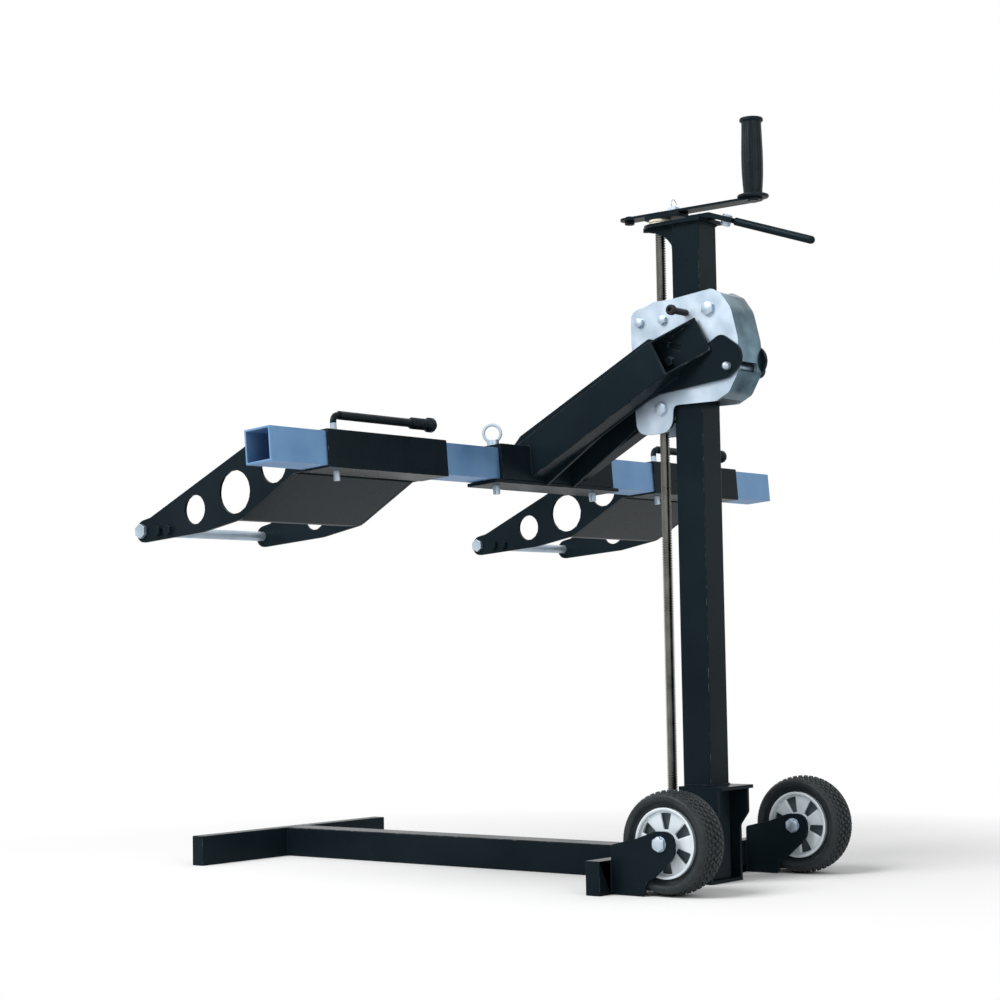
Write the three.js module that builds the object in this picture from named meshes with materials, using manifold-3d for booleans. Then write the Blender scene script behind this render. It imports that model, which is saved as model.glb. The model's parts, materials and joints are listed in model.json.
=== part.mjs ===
// Screw-driven lift for raising the front end of a ride-on machine.
// A square post stands on a T-shaped base with two transport wheels. A hand crank turns a lead screw
// beside the post, the screw draws a roller carriage up and down, and the carriage's arm carries a
// cross tube with two wheel cradles.
//
// Lengths are millimetres. +Z is up, +Y is the front, +X is the right of someone who stands behind the
// post. While it is built, the post's axis is the origin and the floor is Z = 0.

import * as THREE from "three";
import { mergeVertices } from "three/addons/utils/BufferGeometryUtils.js";
import Module from "manifold-3d";

// Clearances.

// Radial or sideways gap between a piece that turns or slides and what guides it.
const runningGap = 0.3;
// Gap between welded or bolted faces of the head, whose frame is turned.
const seatGap = 0.3;
// How far a cutter runs past the faces that it opens.
const overrun = 3;

// Base.

const baseTubeSize = 50.8;
const baseTubeWall = 3;
const baseTubeLength = 836;
const footLength = 468;
const footDepth = 25.4;
const footWall = 2.5;
const rearBarWall = 2.5;
const rearBarLength = 500;
const rearBarDepth = 25.4;
const barEndCap = 3;

// Post and its socket.

const postSize = 50.8;
const postWall = 3;
const postLength = 1024;
const socketWidth = 89;
const socketWall = 6;
const socketFloor = 5;
const socketHeight = 143;
const socketDepth = 75;
const collarThickness = 5.5;
const collarRearLip = 8;
const collarFrontSetback = 3.4;

// Top plate.

const topPlateThickness = 6;
const topPlateWidth = 66;
const topPlateRear = 32;
const gussetThickness = 4;
const gussetSpacing = 38;
const gussetHeight = 38;
const topPlateNose = 55;

// Lead screw and crank.

const screwRadius = 8;
const screwOffset = 63.5;
const screwFootHeight = 26;
const screwFootRadius = 15;
const screwFootPlate = 6;
const screwFootFloor = 5;
const bearingRadius = 18;
const bearingHeight = 10;
const bearingGroove = 1.6;
const hubLength = 69.5;
const hubWidth = 31;
const hubThickness = 6.5;
const hubFrontReach = 23;
const crankThickness = 4;
const crankWidth = 30;
const crankRadius = 175.5;
const crankFrontReach = 59.5;
const screwTopStand = 2.5;
const gripRadius = 17;
const gripLength = 125.5;
const gripFlangeRadius = 24.5;
const gripFlangeThickness = 4;
const gripLipRadius = 18.5;
const gripSpindleRadius = 6;
const gripRoof = 14;
const crankBoltRadius = 8;
const crankBoltHead = 5.5;
const clipBlockSize = 13;
const clipBlockHeight = 6.5;
const clipReach = 27;
const clipRingRadius = 7;
const clipWire = 1.6;

// Transport handle behind the post.

const handleStrapWidth = 25;
const handleStrapThickness = 8;
const handleStrapFront = 6;
const handleStrapBend = 36;
const handleSlope = 19.4;
const handleStrapDrop = 44;
const handleRodRadius = 6.3;
const handleRodLength = 142;
const handleBoltRadius = 4;
const handleBoltPlace = 27;
const handleBoltEnd = 7;

// Transport wheels.

const wheelRadius = 77;
const wheelWidth = 60;
const wheelFloorGap = 0.6;
const wheelPlace = 185.5;
const wheelSetback = 62.5;
const rimRadius = 52.5;
const rimWall = 4.5;
const rimWidth = 48;
const rimWebThickness = 8;
const rimWindows = 6;
const hubRadius = 15;
const axleRadius = 6;
const forkThickness = 5;
const forkHeight = 95;
const forkDepth = 114;
const forkFloorGap = 1;

// Fasteners.

const headHeight = 6;
const smallHeadRadius = 8;
const largeHeadRadius = 11.5;

// Carriage.

const carriageWidth = 66;
const carriageWall = 5.5;
const carriageDepth = 200.5;
const carriageHeight = 219;
const carriageBottom = 698.8;
const carriageRear = 99;
const rollerRadius = 20.3;
const rollerRise = 188.2;
const rollerAxleRadius = 6;
const lowerRollerWaist = 8.5;
const lowerRollerWaistWidth = 22;
const lowerRollerRise = 39.2;
const nutBracketHeight = 30;
const nutBracketDepth = 60.5;
const nutBracketRise = 194.2;
const nutBracketBoltDrop = 15;
const nutBracketBoltRadius = 4;
const nutBracketRearBolt = 24.5;
const nutBracketFrontBolt = 20;
const driveNutRadius = 14;
const driveNutHeight = 26;
const driveNutFlangeRadius = 19;
const driveNutFlange = 5;
const webSlotHeight = 15;
const webSlotWidth = 47.5;
const pullPinRadius = 5.5;
const pullPinNoseRadius = 4;
const pullPinNoseReach = 1.5;
const pullPinLength = 45;
const pullPinKnobRadius = 8.3;
const pullPinKnobLength = 8;
const pullPinPlace = 4;
const pullPinRise = 186.2;

// Arm.

const armSlope = 28.2;
const cheekThickness = 6;
const cheekDepth = 449;
const cheekHeight = 246;
const cheekRear = 107.3;
const cheekDrop = 83;
const railWidth = 35;
const railDepth = 62.5;
const railWall = 3;
const railLength = 392;
const railScarf = 78;
const railTopRear = 25.1;
const railTopRise = 176;
const armWebThickness = 5;
const armWebDrop = 8;
const armWebLength = 232;
const armPinRadius = 6;
const armPinPlace = 83;
const armPinRise = 94.2;
const armPinTip = 6;
const armPinTail = 10;
const armKnobRadius = 12;
const armKnobLength = 14;
const armBoltPlace = 21;
const armBoltRise = 110.7;
const armSlotPlace = 13;
const armSlotRise = 133.7;
const armSlotLength = 24;
const armSlotWidth = 8;

// Head: cross tube and its bracket.

const headTilt = 4.35;
const headPlace = 307.8;
const headDrop = 39.5;
const crossTubeSize = 50.8;
const crossTubeWall = 3;
const crossTubeLength = 1328;
const bracketLength = 300;
const bracketWall = 6;
const basePlateLength = 330;
const basePlateThickness = 6;
const ringPinRadius = 6;
const ringPinPlace = 130;
const ringPinTip = 14;
const ringPinCollar = 10;
const ringRadius = 14;
const ringWire = 2.4;
const ringTurn = 51;
const headBoltPlace = 100;
const headBoltRadius = 8;

// Cradles.

const sleeveLength = 268;
const sleeveWall = 3;
const cradleSpacing = 828;
const cradlePlateThickness = 5;
const cradleReach = 366;
const cradleDepth = 119;
const cradleHoleRadii = [27, 33.5, 23];
const panelThickness = 4;
const panelLip = 17;
const cradleRodRadius = 8;
const cradlePinRadius = 5;
const cradlePinTip = 14;
const cradlePinRise = 27.5;
const cradlePinBend = 13;
const cradlePinInset = 44;
const cradleHandleLength = 232;
const cradleGripRadius = 9.5;
const cradleGripLength = 58;
const cradleSheathRadius = 6.8;
const cradleBallRadius = 12.5;
const cradleGripRibs = 5;

// Outlines, as shares of the depth and height of the piece that they belong to.

// [front-to-back share from the rear, height share from the bottom, corner radius as a share of height]
const carriageOutlineShares = [
  [0.0, 0.393, 0.11],
  [0.0, 0.62, 0.14],
  [0.06, 0.845, 0.09],
  [0.145, 0.955, 0.055],
  [0.234, 1.0, 0.045],
  [0.61, 0.962, 0.05],
  [0.778, 0.96, 0.05],
  [0.867, 0.93, 0.05],
  [1.0, 0.91, 0.1],
  [1.0, 0.7, 0.08],
  [0.972, 0.15, 0.2],
  [0.957, 0.0, 0.13],
  [0.624, 0.0, 0.13],
  [0.61, 0.195, 0.04],
  [0.213, 0.195, 0.03],
  [0.093, 0.25, 0.05],
];
const cheekOutlineShares = [
  [0.0, 0.83, 0.1],
  [0.0, 0.72, 0.1],
  [0.06, 0.645, 0.1],
  [0.343, 0.587, 0.05],
  [0.497, 0.48, 0.05],
  [0.9, 0.0, 0],
  [1.0, 0.0, 0],
  [1.0, 0.34, 0],
  [0.966, 0.405, 0.03],
  [0.382, 0.954, 0.03],
  [0.16, 0.85, 0.03],
  [0.08, 0.935, 0.06],
];
const forkOutlineShares = [
  [1.0, 0.0, 0],
  [1.0, 0.76, 0.05],
  [0.6, 0.87, 0.1],
  [0.3, 1.0, 0.2],
  [0.0, 1.0, 0.26],
  [0.0, 0.62, 0.22],
  [0.29, 0.32, 0.12],
  [0.45, 0.2, 0.1],
  [0.48, 0.0, 0.04],
];
const socketSideOutlineShares = [
  [1.0, 0.0, 0],
  [1.0, 0.36, 0],
  [0.95, 0.38, 0],
  [0.95, 1.0, 0],
  [0.0, 1.0, 0],
  [0.0, 0.74, 0.05],
  [0.2, 0.6, 0.05],
  [0.2, 0.0, 0],
];
// Measured from the sleeve's front face and the top of the plate.
const cradleOutlineShares = [
  [0.0, 0.0, 0],
  [0.3, 0.0, 0.08],
  [0.91, -0.686, 0.1],
  [1.0, -0.72, 0.15],
  [1.0, -1.0, 0.15],
  [0.59, -1.0, 0.2],
  [0.36, -0.925, 0.2],
  [0.048, -0.473, 0.06],
  [0.0, -0.473, 0],
];
const cradleHoleShares = [
  [0.157, -0.322],
  [0.389, -0.562],
  [0.632, -0.689],
];
const cradleRodShares = [0.963, -0.847];
const cradleBoltShares = [
  [0.859, -0.88],
  [0.796, -0.89],
];
// Each window of a rim: its inner and outer radius, and its half angles there, as shares.
const windowInnerShare = 0.42;
const windowOuterShare = 0.85;
const windowInnerAngleShare = 0.2;
const windowOuterAngleShare = 0.26;
// Where a grip swells: [radius share between waist and lip, height share].
const gripSwellShares = [
  [0.86, 0.0],
  [0.94, 0.12],
  [1.0, 0.45],
  [0.95, 0.8],
  [0.9, 0.96],
];
// The top plate's gusset: how far its free edge is drawn in towards the corner.
const gussetDrawShare = 0.2;
const tyreProfileShares = [
  [0.0, 0.3],
  [0.3, 0.44],
  [0.72, 0.5],
  [0.93, 0.42],
  [1.0, 0.22],
];

// Finishes.

const finishes = {
  black: { color: 0x1b1d20, roughness: 0.45, metalness: 0.3 },
  zinc: { color: 0xb9c6d2, roughness: 0.35, metalness: 0.9 },
  steel: { color: 0x9a9c9e, roughness: 0.3, metalness: 1 },
  brass: { color: 0xb79c5a, roughness: 0.4, metalness: 0.9 },
  rubber: { color: 0x17181a, roughness: 0.85, metalness: 0 },
  rim: { color: 0xc3cbd2, roughness: 0.5, metalness: 0.4 },
  nylon: { color: 0xd9d6c8, roughness: 0.5, metalness: 0 },
  plastic: { color: 0x202124, roughness: 0.6, metalness: 0 },
};

const wasm = await Module();
wasm.setup();

// Solids.

function solidOf(geometry) {
  const bare = geometry.clone();
  bare.deleteAttribute("normal");
  bare.deleteAttribute("uv");
  const merged = mergeVertices(bare);
  const mesh = new wasm.Mesh({
    numProp: 3,
    vertProperties: merged.attributes.position.array,
    triVerts: new Uint32Array(merged.index.array),
  });
  return new wasm.Manifold(mesh);
}

function geometryOf(solid) {
  const mesh = solid.getMesh();
  const geometry = new THREE.BufferGeometry();
  geometry.setAttribute("position", new THREE.BufferAttribute(mesh.vertProperties, 3));
  geometry.setIndex(new THREE.BufferAttribute(mesh.triVerts, 1));
  const faceted = geometry.toNonIndexed();
  faceted.computeVertexNormals();
  return faceted;
}

function join(...geometries) {
  return geometryOf(geometries.map(solidOf).reduce((all, next) => all.add(next)));
}

function cut(geometry, ...cutters) {
  return geometryOf(cutters.map(solidOf).reduce((left, cutter) => left.subtract(cutter), solidOf(geometry)));
}

// Basic forms.

// The angle that one straight step of a rounded corner spans.
const arcStep = Math.PI / 8;

// A box between two opposite corners.
function block(low, high) {
  const size = high.map((value, axis) => value - low[axis]);
  const centre = high.map((value, axis) => (value + low[axis]) / 2);
  return new THREE.BoxGeometry(...size).translate(...centre);
}

// A shape drawn in (Y, Z), made solid from X = left to X = right.
function slabAlongX(shape, left, right) {
  const geometry = new THREE.ExtrudeGeometry(shape, {
    depth: right - left,
    bevelEnabled: false,
    curveSegments: 7,
  });
  const turn = new THREE.Matrix4().makeBasis(
    new THREE.Vector3(0, 1, 0),
    new THREE.Vector3(0, 0, 1),
    new THREE.Vector3(1, 0, 0),
  );
  return geometry.applyMatrix4(turn).translate(left, 0, 0);
}

// A shape drawn in (X, Y), made solid from Z = bottom to Z = top.
function slabAlongZ(shape, bottom, top) {
  const geometry = new THREE.ExtrudeGeometry(shape, {
    depth: top - bottom,
    bevelEnabled: false,
    curveSegments: 8,
  });
  return geometry.translate(0, 0, bottom);
}

// A round bar along X, through the point (y, z).
function barAlongX(radius, left, right, y, z, sides = 16) {
  return new THREE.CylinderGeometry(radius, radius, right - left, sides)
    .rotateZ(-Math.PI / 2)
    .translate((left + right) / 2, y, z);
}

// A round bar along Z, through the point (x, y).
function barAlongZ(radius, bottom, top, x, y, sides = 16) {
  return new THREE.CylinderGeometry(radius, radius, top - bottom, sides)
    .rotateX(Math.PI / 2)
    .translate(x, y, (bottom + top) / 2);
}

// A form revolved about Z from a profile of [radius, z] points, given either way round.
function revolved(profile, sides) {
  const points = profile.map(([radius, z]) => new THREE.Vector2(radius, z));
  if (THREE.ShapeUtils.area(points) < 0) points.reverse();
  return new THREE.LatheGeometry(points, sides).rotateX(Math.PI / 2);
}

// A form revolved about X from a closed profile of [radius, x] points.
function revolvedAboutX(profile, sides) {
  return revolved(profile, sides).rotateY(Math.PI / 2);
}

// A square tube along Y between two places.
function tubeAlongY(width, height, wall, rear, front) {
  const outer = block([-width / 2, rear, 0], [width / 2, front, height]);
  const bore = block(
    [-width / 2 + wall, rear - overrun, wall],
    [width / 2 - wall, front + overrun, height - wall],
  );
  return cut(outer, bore);
}

// A rectangular tube along X, centred on X = 0.
function tubeAlongX(length, depth, height, wall, y, z) {
  const outer = block([-length / 2, y - depth / 2, z - height / 2], [length / 2, y + depth / 2, z + height / 2]);
  const bore = block(
    [-length / 2 - overrun, y - depth / 2 + wall, z - height / 2 + wall],
    [length / 2 + overrun, y + depth / 2 - wall, z + height / 2 - wall],
  );
  return cut(outer, bore);
}

// A closed outline through [x, y, radius] corners, with each corner rounded to its own radius.
function roundedOutline(corners) {
  const points = corners.flatMap(([x, y, radius], index) => {
    const corner = new THREE.Vector2(x, y);
    if (!radius) return [corner];
    const before = new THREE.Vector2(...corners.at(index - 1)).sub(corner);
    const after = new THREE.Vector2(...corners[(index + 1) % corners.length]).sub(corner);
    const room = Math.min(before.length(), after.length()) / 2;
    before.normalize();
    after.normalize();
    const half = Math.acos(THREE.MathUtils.clamp(before.dot(after), -1, 1)) / 2;
    const reach = Math.min(radius / Math.tan(half), room);
    const fitted = reach * Math.tan(half);
    const middle = before.clone().add(after).normalize();
    const centre = corner.clone().addScaledVector(middle, fitted / Math.sin(half));
    const from = corner.clone().addScaledVector(before, reach).sub(centre);
    const sweep = (Math.PI - 2 * half) * Math.sign(after.cross(before));
    const steps = Math.ceil(Math.abs(sweep) / arcStep);
    return Array.from({ length: steps + 1 }, (unused, step) =>
      from.clone().rotateAround(new THREE.Vector2(), (step / steps) * sweep).add(centre),
    );
  });
  return new THREE.Shape(points);
}

// An outline's share table laid out on a piece of the given depth and height.
function laidOut(shares, rear, bottom, depth, height) {
  return roundedOutline(
    shares.map(([along, up, radius]) => [rear + along * depth, bottom + up * height, radius * height]),
  );
}

// A ring of round wire about the origin, in the XZ plane.
function wireRing(radius, wire, sides, wireSides) {
  const profile = [];
  for (let step = 0; step <= wireSides; step += 1) {
    const angle = (step / wireSides) * 2 * Math.PI;
    profile.push([radius + (wire / 2) * Math.cos(angle), (wire / 2) * Math.sin(angle)]);
  }
  return revolved(profile, sides).rotateX(Math.PI / 2);
}

// A hexagonal head with its flat base at X = 0 and its top at X = height.
function hexHead(radius, height) {
  return new THREE.CylinderGeometry(radius, radius, height, 6).rotateZ(-Math.PI / 2).translate(height / 2, 0, 0);
}

// A bolt along X: a head outside the left face, a shank through, and a nut outside the right face.
function boltAlongX(radius, headRadius, left, right, y, z) {
  return join(
    barAlongX(radius, left - headHeight / 2, right + headHeight / 2, y, z, 12),
    hexHead(headRadius, headHeight).translate(left - headHeight, y, z),
    hexHead(headRadius, headHeight).translate(right, y, z),
  );
}

function part(name, finish, geometry) {
  const mesh = new THREE.Mesh(geometry, new THREE.MeshStandardMaterial(finishes[finish]));
  mesh.name = name;
  return mesh;
}

const sides = [
  ["left", -1],
  ["right", 1],
];

// Puts a form made for the right side on the given side. On the left it is mirrored, and each triangle's
// corners are put back in the order that faces it outwards.
function onSide(geometry, side) {
  if (side > 0) return geometry;
  const mirrored = geometry.index ? geometry.toNonIndexed() : geometry.clone();
  mirrored.scale(-1, 1, 1);
  const { array, itemSize } = mirrored.attributes.position;
  // A triangle has as many corners as a corner has coordinates.
  const triangle = itemSize * itemSize;
  for (let second = itemSize; second < array.length; second += triangle) {
    const third = second + itemSize;
    const kept = array.slice(second, third);
    array.copyWithin(second, third, third + itemSize);
    array.set(kept, third);
  }
  mirrored.deleteAttribute("uv");
  mirrored.computeVertexNormals();
  return mirrored;
}

// Base.

const rearBarBack = postSize / 2 + runningGap;
const rearBarFront = rearBarBack + rearBarDepth;
const footBack = rearBarFront + baseTubeLength;
const footMiddle = footBack + footDepth / 2;
const rearBarMiddle = rearBarBack + rearBarDepth / 2;

// A closed bar across the base. Its hollow opens only into the bore of the base tube that butts on it.
function crossBar(length, depth, wall, middle, jointFace) {
  const bar = block([-length / 2, middle - depth / 2, 0], [length / 2, middle + depth / 2, baseTubeSize]);
  const hollow = block(
    [-length / 2 + barEndCap, middle - depth / 2 + wall, wall],
    [length / 2 - barEndCap, middle + depth / 2 - wall, baseTubeSize - wall],
  );
  const mouthHalf = baseTubeSize / 4;
  const mouth = block(
    [-mouthHalf, Math.min(middle, jointFace - overrun), baseTubeSize / 2 - mouthHalf],
    [mouthHalf, Math.max(middle, jointFace + overrun), baseTubeSize / 2 + mouthHalf],
  );
  return cut(bar, hollow, mouth);
}

function postSocket() {
  const half = socketWidth / 2;
  const rear = rearBarBack - socketDepth;
  const outline = laidOut(socketSideOutlineShares, rear, 0, socketDepth, socketHeight);
  const walls = sides.map(([, side]) =>
    slabAlongX(outline, Math.min(side * half, side * (half - socketWall)), Math.max(side * half, side * (half - socketWall))),
  );
  const floorRear = rear + socketDepth * socketSideOutlineShares.at(-1)[0];
  const floor = block([-half + socketWall, floorRear, 0], [half - socketWall, rearBarBack, socketFloor]);
  const collarFront = postSize / 2 - collarFrontSetback;
  const collar = block(
    [-half, rear - collarRearLip, socketHeight],
    [half, collarFront, socketHeight + collarThickness],
  );
  const notchHalf = postSize / 2 + runningGap;
  const notch = block(
    [-notchHalf, -notchHalf, socketHeight - overrun],
    [notchHalf, collarFront + overrun, socketHeight + collarThickness + overrun],
  );
  return join(...walls, floor, cut(collar, notch));
}

function screwFoot() {
  const bottom = baseTubeSize;
  const half = screwFootRadius;
  const plate = block(
    [-baseTubeSize / 2, screwOffset - half, bottom],
    [baseTubeSize / 2, screwOffset + half, bottom + screwFootPlate],
  );
  const boss = barAlongZ(half, bottom, bottom + screwFootHeight, 0, screwOffset);
  const bore = barAlongZ(
    screwRadius + runningGap,
    bottom + screwFootFloor,
    bottom + screwFootHeight + overrun,
    0,
    screwOffset,
  );
  return cut(join(plate, boss), bore);
}

// Transport wheels, drawn for the right side.

const wheelLevel = wheelRadius + wheelFloorGap;
const forkInside = wheelWidth / 2 + runningGap;
const forkOutside = forkInside + forkThickness;

function wheelFork() {
  const rear = rearBarBack - forkDepth;
  const outline = laidOut(forkOutlineShares, rear, forkFloorGap, forkDepth, forkHeight);
  const hole = new THREE.Path().absarc(-wheelSetback, wheelLevel, axleRadius + runningGap, 0, 2 * Math.PI);
  outline.holes.push(hole);
  return join(
    slabAlongX(outline, wheelPlace - forkOutside, wheelPlace - forkInside),
    slabAlongX(outline, wheelPlace + forkInside, wheelPlace + forkOutside),
  );
}

function wheelBolt() {
  return boltAlongX(
    axleRadius,
    largeHeadRadius,
    wheelPlace - forkOutside,
    wheelPlace + forkOutside,
    -wheelSetback,
    wheelLevel,
  );
}

function tyre() {
  const depth = wheelRadius - rimRadius;
  const half = tyreProfileShares.map(([out, across]) => [rimRadius + out * depth, across * wheelWidth]);
  const other = half.map(([radius, across]) => [radius, -across]).reverse();
  return revolvedAboutX([...half, ...other, half[0]], 32).translate(wheelPlace, -wheelSetback, wheelLevel);
}

function rimWindow() {
  const inner = rimRadius * windowInnerShare;
  const outer = rimRadius * windowOuterShare;
  const pitch = (2 * Math.PI) / rimWindows;
  const narrow = pitch * windowInnerAngleShare;
  const wide = pitch * windowOuterAngleShare;
  const shape = new THREE.Shape();
  shape.moveTo(inner * Math.cos(narrow), inner * Math.sin(narrow));
  shape.lineTo(inner * Math.cos(narrow), -inner * Math.sin(narrow));
  shape.lineTo(outer * Math.cos(wide), -outer * Math.sin(wide));
  shape.lineTo(outer, 0);
  shape.lineTo(outer * Math.cos(wide), outer * Math.sin(wide));
  shape.closePath();
  return slabAlongX(shape, -rimWidth / 2, rimWidth / 2);
}

function rim() {
  const outer = rimRadius - runningGap;
  const inner = outer - rimWall;
  const hubHalf = wheelWidth / 2 - runningGap;
  const bore = axleRadius + runningGap;
  const profile = [
    [bore, -hubHalf],
    [hubRadius, -hubHalf],
    [hubRadius, -rimWebThickness / 2],
    [inner, -rimWebThickness / 2],
    [inner, -rimWidth / 2],
    [outer, -rimWidth / 2],
    [outer, rimWidth / 2],
    [inner, rimWidth / 2],
    [inner, rimWebThickness / 2],
    [hubRadius, rimWebThickness / 2],
    [hubRadius, hubHalf],
    [bore, hubHalf],
    [bore, -hubHalf],
  ];
  const windows = [];
  for (let index = 0; index < rimWindows; index += 1) {
    windows.push(rimWindow().rotateX((index * 2 * Math.PI) / rimWindows));
  }
  return cut(revolvedAboutX(profile, 24), ...windows).translate(wheelPlace, -wheelSetback, wheelLevel);
}

// Post and top plate.

const postTop = socketFloor + postLength;
const topPlateTop = postTop + topPlateThickness;

function post() {
  const half = postSize / 2;
  const inner = half - postWall;
  return cut(
    block([-half, -half, socketFloor], [half, half, postTop]),
    block([-inner, -inner, socketFloor - overrun], [inner, inner, postTop + overrun]),
  );
}

function topPlate() {
  const half = topPlateWidth / 2;
  const shape = new THREE.Shape();
  shape.moveTo(-half, -topPlateRear);
  shape.lineTo(half, -topPlateRear);
  shape.lineTo(half, topPlateNose);
  shape.absarc(0, topPlateNose, half, 0, Math.PI);
  shape.closePath();
  shape.holes.push(new THREE.Path().absarc(0, screwOffset, screwRadius + runningGap, 0, 2 * Math.PI));
  const plate = slabAlongZ(shape, postTop, topPlateTop);
  const rear = postSize / 2;
  const front = topPlateNose + half * Math.cos(Math.asin(gussetSpacing / topPlateWidth));
  const web = new THREE.Shape();
  web.moveTo(rear, postTop - gussetHeight);
  web.quadraticCurveTo(
    rear + gussetDrawShare * (front - rear),
    postTop - gussetDrawShare * gussetHeight,
    front,
    postTop - gussetThickness,
  );
  web.lineTo(front, postTop + topPlateThickness / 2);
  web.lineTo(rear, postTop + topPlateThickness / 2);
  web.closePath();
  const near = (gussetSpacing - gussetThickness) / 2;
  return join(
    plate,
    slabAlongX(web, -near - gussetThickness, -near),
    slabAlongX(web, near, near + gussetThickness),
  );
}

function thrustBearing() {
  const bore = screwRadius + runningGap;
  const third = bearingHeight / 3;
  const waist = bearingRadius - bearingGroove;
  const profile = [
    [bore, 0],
    [bearingRadius, 0],
    [bearingRadius, third],
    [waist, third],
    [waist, 2 * third],
    [bearingRadius, 2 * third],
    [bearingRadius, bearingHeight],
    [bore, bearingHeight],
    [bore, 0],
  ];
  return revolved(profile, 20).translate(0, screwOffset, topPlateTop);
}

// Transport handle.

const handleStrapTop = topPlateTop + handleStrapThickness;

// Places a form made along -Y, with its bend at the origin, on the handle's slope.
function onHandleSlope(geometry) {
  return geometry.rotateX(THREE.MathUtils.degToRad(handleSlope)).translate(0, -handleStrapBend, topPlateTop);
}

function handleStrap() {
  const slope = THREE.MathUtils.degToRad(handleSlope);
  const along = [Math.cos(slope), Math.sin(slope)];
  const shape = new THREE.Shape();
  shape.moveTo(handleStrapFront, topPlateTop);
  shape.lineTo(handleStrapFront, handleStrapTop);
  shape.lineTo(-handleStrapBend - handleStrapThickness * Math.tan(slope / 2), handleStrapTop);
  const endY = -handleStrapBend - handleStrapDrop * along[0];
  const endZ = topPlateTop - handleStrapDrop * along[1];
  shape.lineTo(endY - handleStrapThickness * along[1], endZ + handleStrapThickness * along[0]);
  shape.lineTo(endY, endZ);
  shape.lineTo(-handleStrapBend, topPlateTop);
  shape.closePath();
  const strap = slabAlongX(shape, -handleStrapWidth / 2, handleStrapWidth / 2);
  const hole = barAlongZ(handleBoltRadius + runningGap, -overrun, handleStrapThickness + overrun, 0, -handleBoltPlace);
  return cut(strap, onHandleSlope(hole));
}

// The rod butts on the strap's lower end, in line with it.
function handleRod() {
  const start = handleStrapDrop + seatGap;
  const end = start + handleRodLength;
  const level = handleStrapThickness / 2;
  const rod = new THREE.CylinderGeometry(handleRodRadius, handleRodRadius, end - start, 14);
  const tip = new THREE.SphereGeometry(handleRodRadius, 14, 8);
  return onHandleSlope(join(rod.translate(0, -(start + end) / 2, level), tip.translate(0, -end, level)));
}

function handleBolt() {
  const nutTop = -seatGap;
  const headBottom = handleStrapThickness + seatGap;
  const bolt = join(
    barAlongZ(handleBoltRadius, nutTop - headHeight - handleBoltEnd, headBottom + headHeight / 2, 0, 0, 12),
    barAlongZ(smallHeadRadius, nutTop - headHeight, nutTop, 0, 0, 6),
    barAlongZ(smallHeadRadius, headBottom, headBottom + headHeight / 2, 0, 0, 6),
  );
  return onHandleSlope(bolt.translate(0, -handleBoltPlace, 0));
}

// Lead screw, crank and grip, drawn with the screw's axis at the origin.

const hubBottom = topPlateTop + bearingHeight + runningGap;
const crankBottom = hubBottom + hubThickness + seatGap;
const crankTop = crankBottom + crankThickness;

function leadScrew() {
  const bottom = baseTubeSize + screwFootFloor + runningGap;
  const top = crankTop + screwTopStand;
  const chamfer = screwRadius / 4;
  return revolved(
    [
      [0, bottom],
      [screwRadius - chamfer, bottom],
      [screwRadius, bottom + chamfer],
      [screwRadius, top - chamfer],
      [screwRadius - chamfer, top],
      [0, top],
    ],
    16,
  );
}

function crankHub() {
  const half = hubWidth / 2;
  const front = hubFrontReach;
  const outline = roundedOutline([
    [-half, front - hubLength, half / 4],
    [half, front - hubLength, half / 4],
    [half, front, half / 2],
    [-half, front, half / 2],
  ]);
  outline.holes.push(new THREE.Path().absarc(0, 0, screwRadius + runningGap, 0, 2 * Math.PI));
  return slabAlongZ(outline, hubBottom, hubBottom + hubThickness);
}

function crankArm() {
  const half = crankWidth / 2;
  const shape = new THREE.Shape();
  shape.absarc(0, crankFrontReach, half, 0, Math.PI);
  shape.absarc(0, -crankRadius, half, Math.PI, 2 * Math.PI);
  shape.closePath();
  [
    [0, screwRadius],
    [crankFrontReach, gripSpindleRadius],
    [-crankRadius, gripSpindleRadius],
  ].forEach(([y, radius]) => {
    shape.holes.push(new THREE.Path().absarc(0, y, radius + runningGap, 0, 2 * Math.PI));
  });
  return slabAlongZ(shape, crankBottom, crankTop);
}

const gripBottom = crankTop + runningGap;

function crankStopBolt() {
  const headTop = crankBottom - seatGap;
  return join(
    barAlongZ(gripSpindleRadius, headTop - crankBoltHead / 2, crankTop + crankBoltHead / 2, 0, crankFrontReach, 12),
    barAlongZ(crankBoltRadius, headTop - crankBoltHead, headTop, 0, crankFrontReach, 6),
    barAlongZ(crankBoltRadius, crankTop + seatGap, crankTop + crankBoltHead / 2, 0, crankFrontReach, 16),
  );
}

function gripSpindle() {
  const headTop = crankBottom - seatGap;
  return join(
    barAlongZ(gripSpindleRadius, headTop - crankBoltHead / 2, gripBottom + gripLength - gripRoof, 0, -crankRadius, 14),
    barAlongZ(crankBoltRadius, headTop - crankBoltHead / 2, headTop, 0, -crankRadius, 16),
  );
}

function crankClip() {
  const half = clipBlockSize / 2;
  const bottom = crankTop + seatGap;
  const place = -clipReach;
  const ringLevel = bottom + clipBlockHeight + clipRingRadius - clipWire;
  return join(
    block([-half, place - half, bottom], [half, place + half, bottom + clipBlockHeight]),
    wireRing(clipRingRadius, clipWire, 16, 5).translate(0, place, ringLevel),
  );
}

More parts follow.
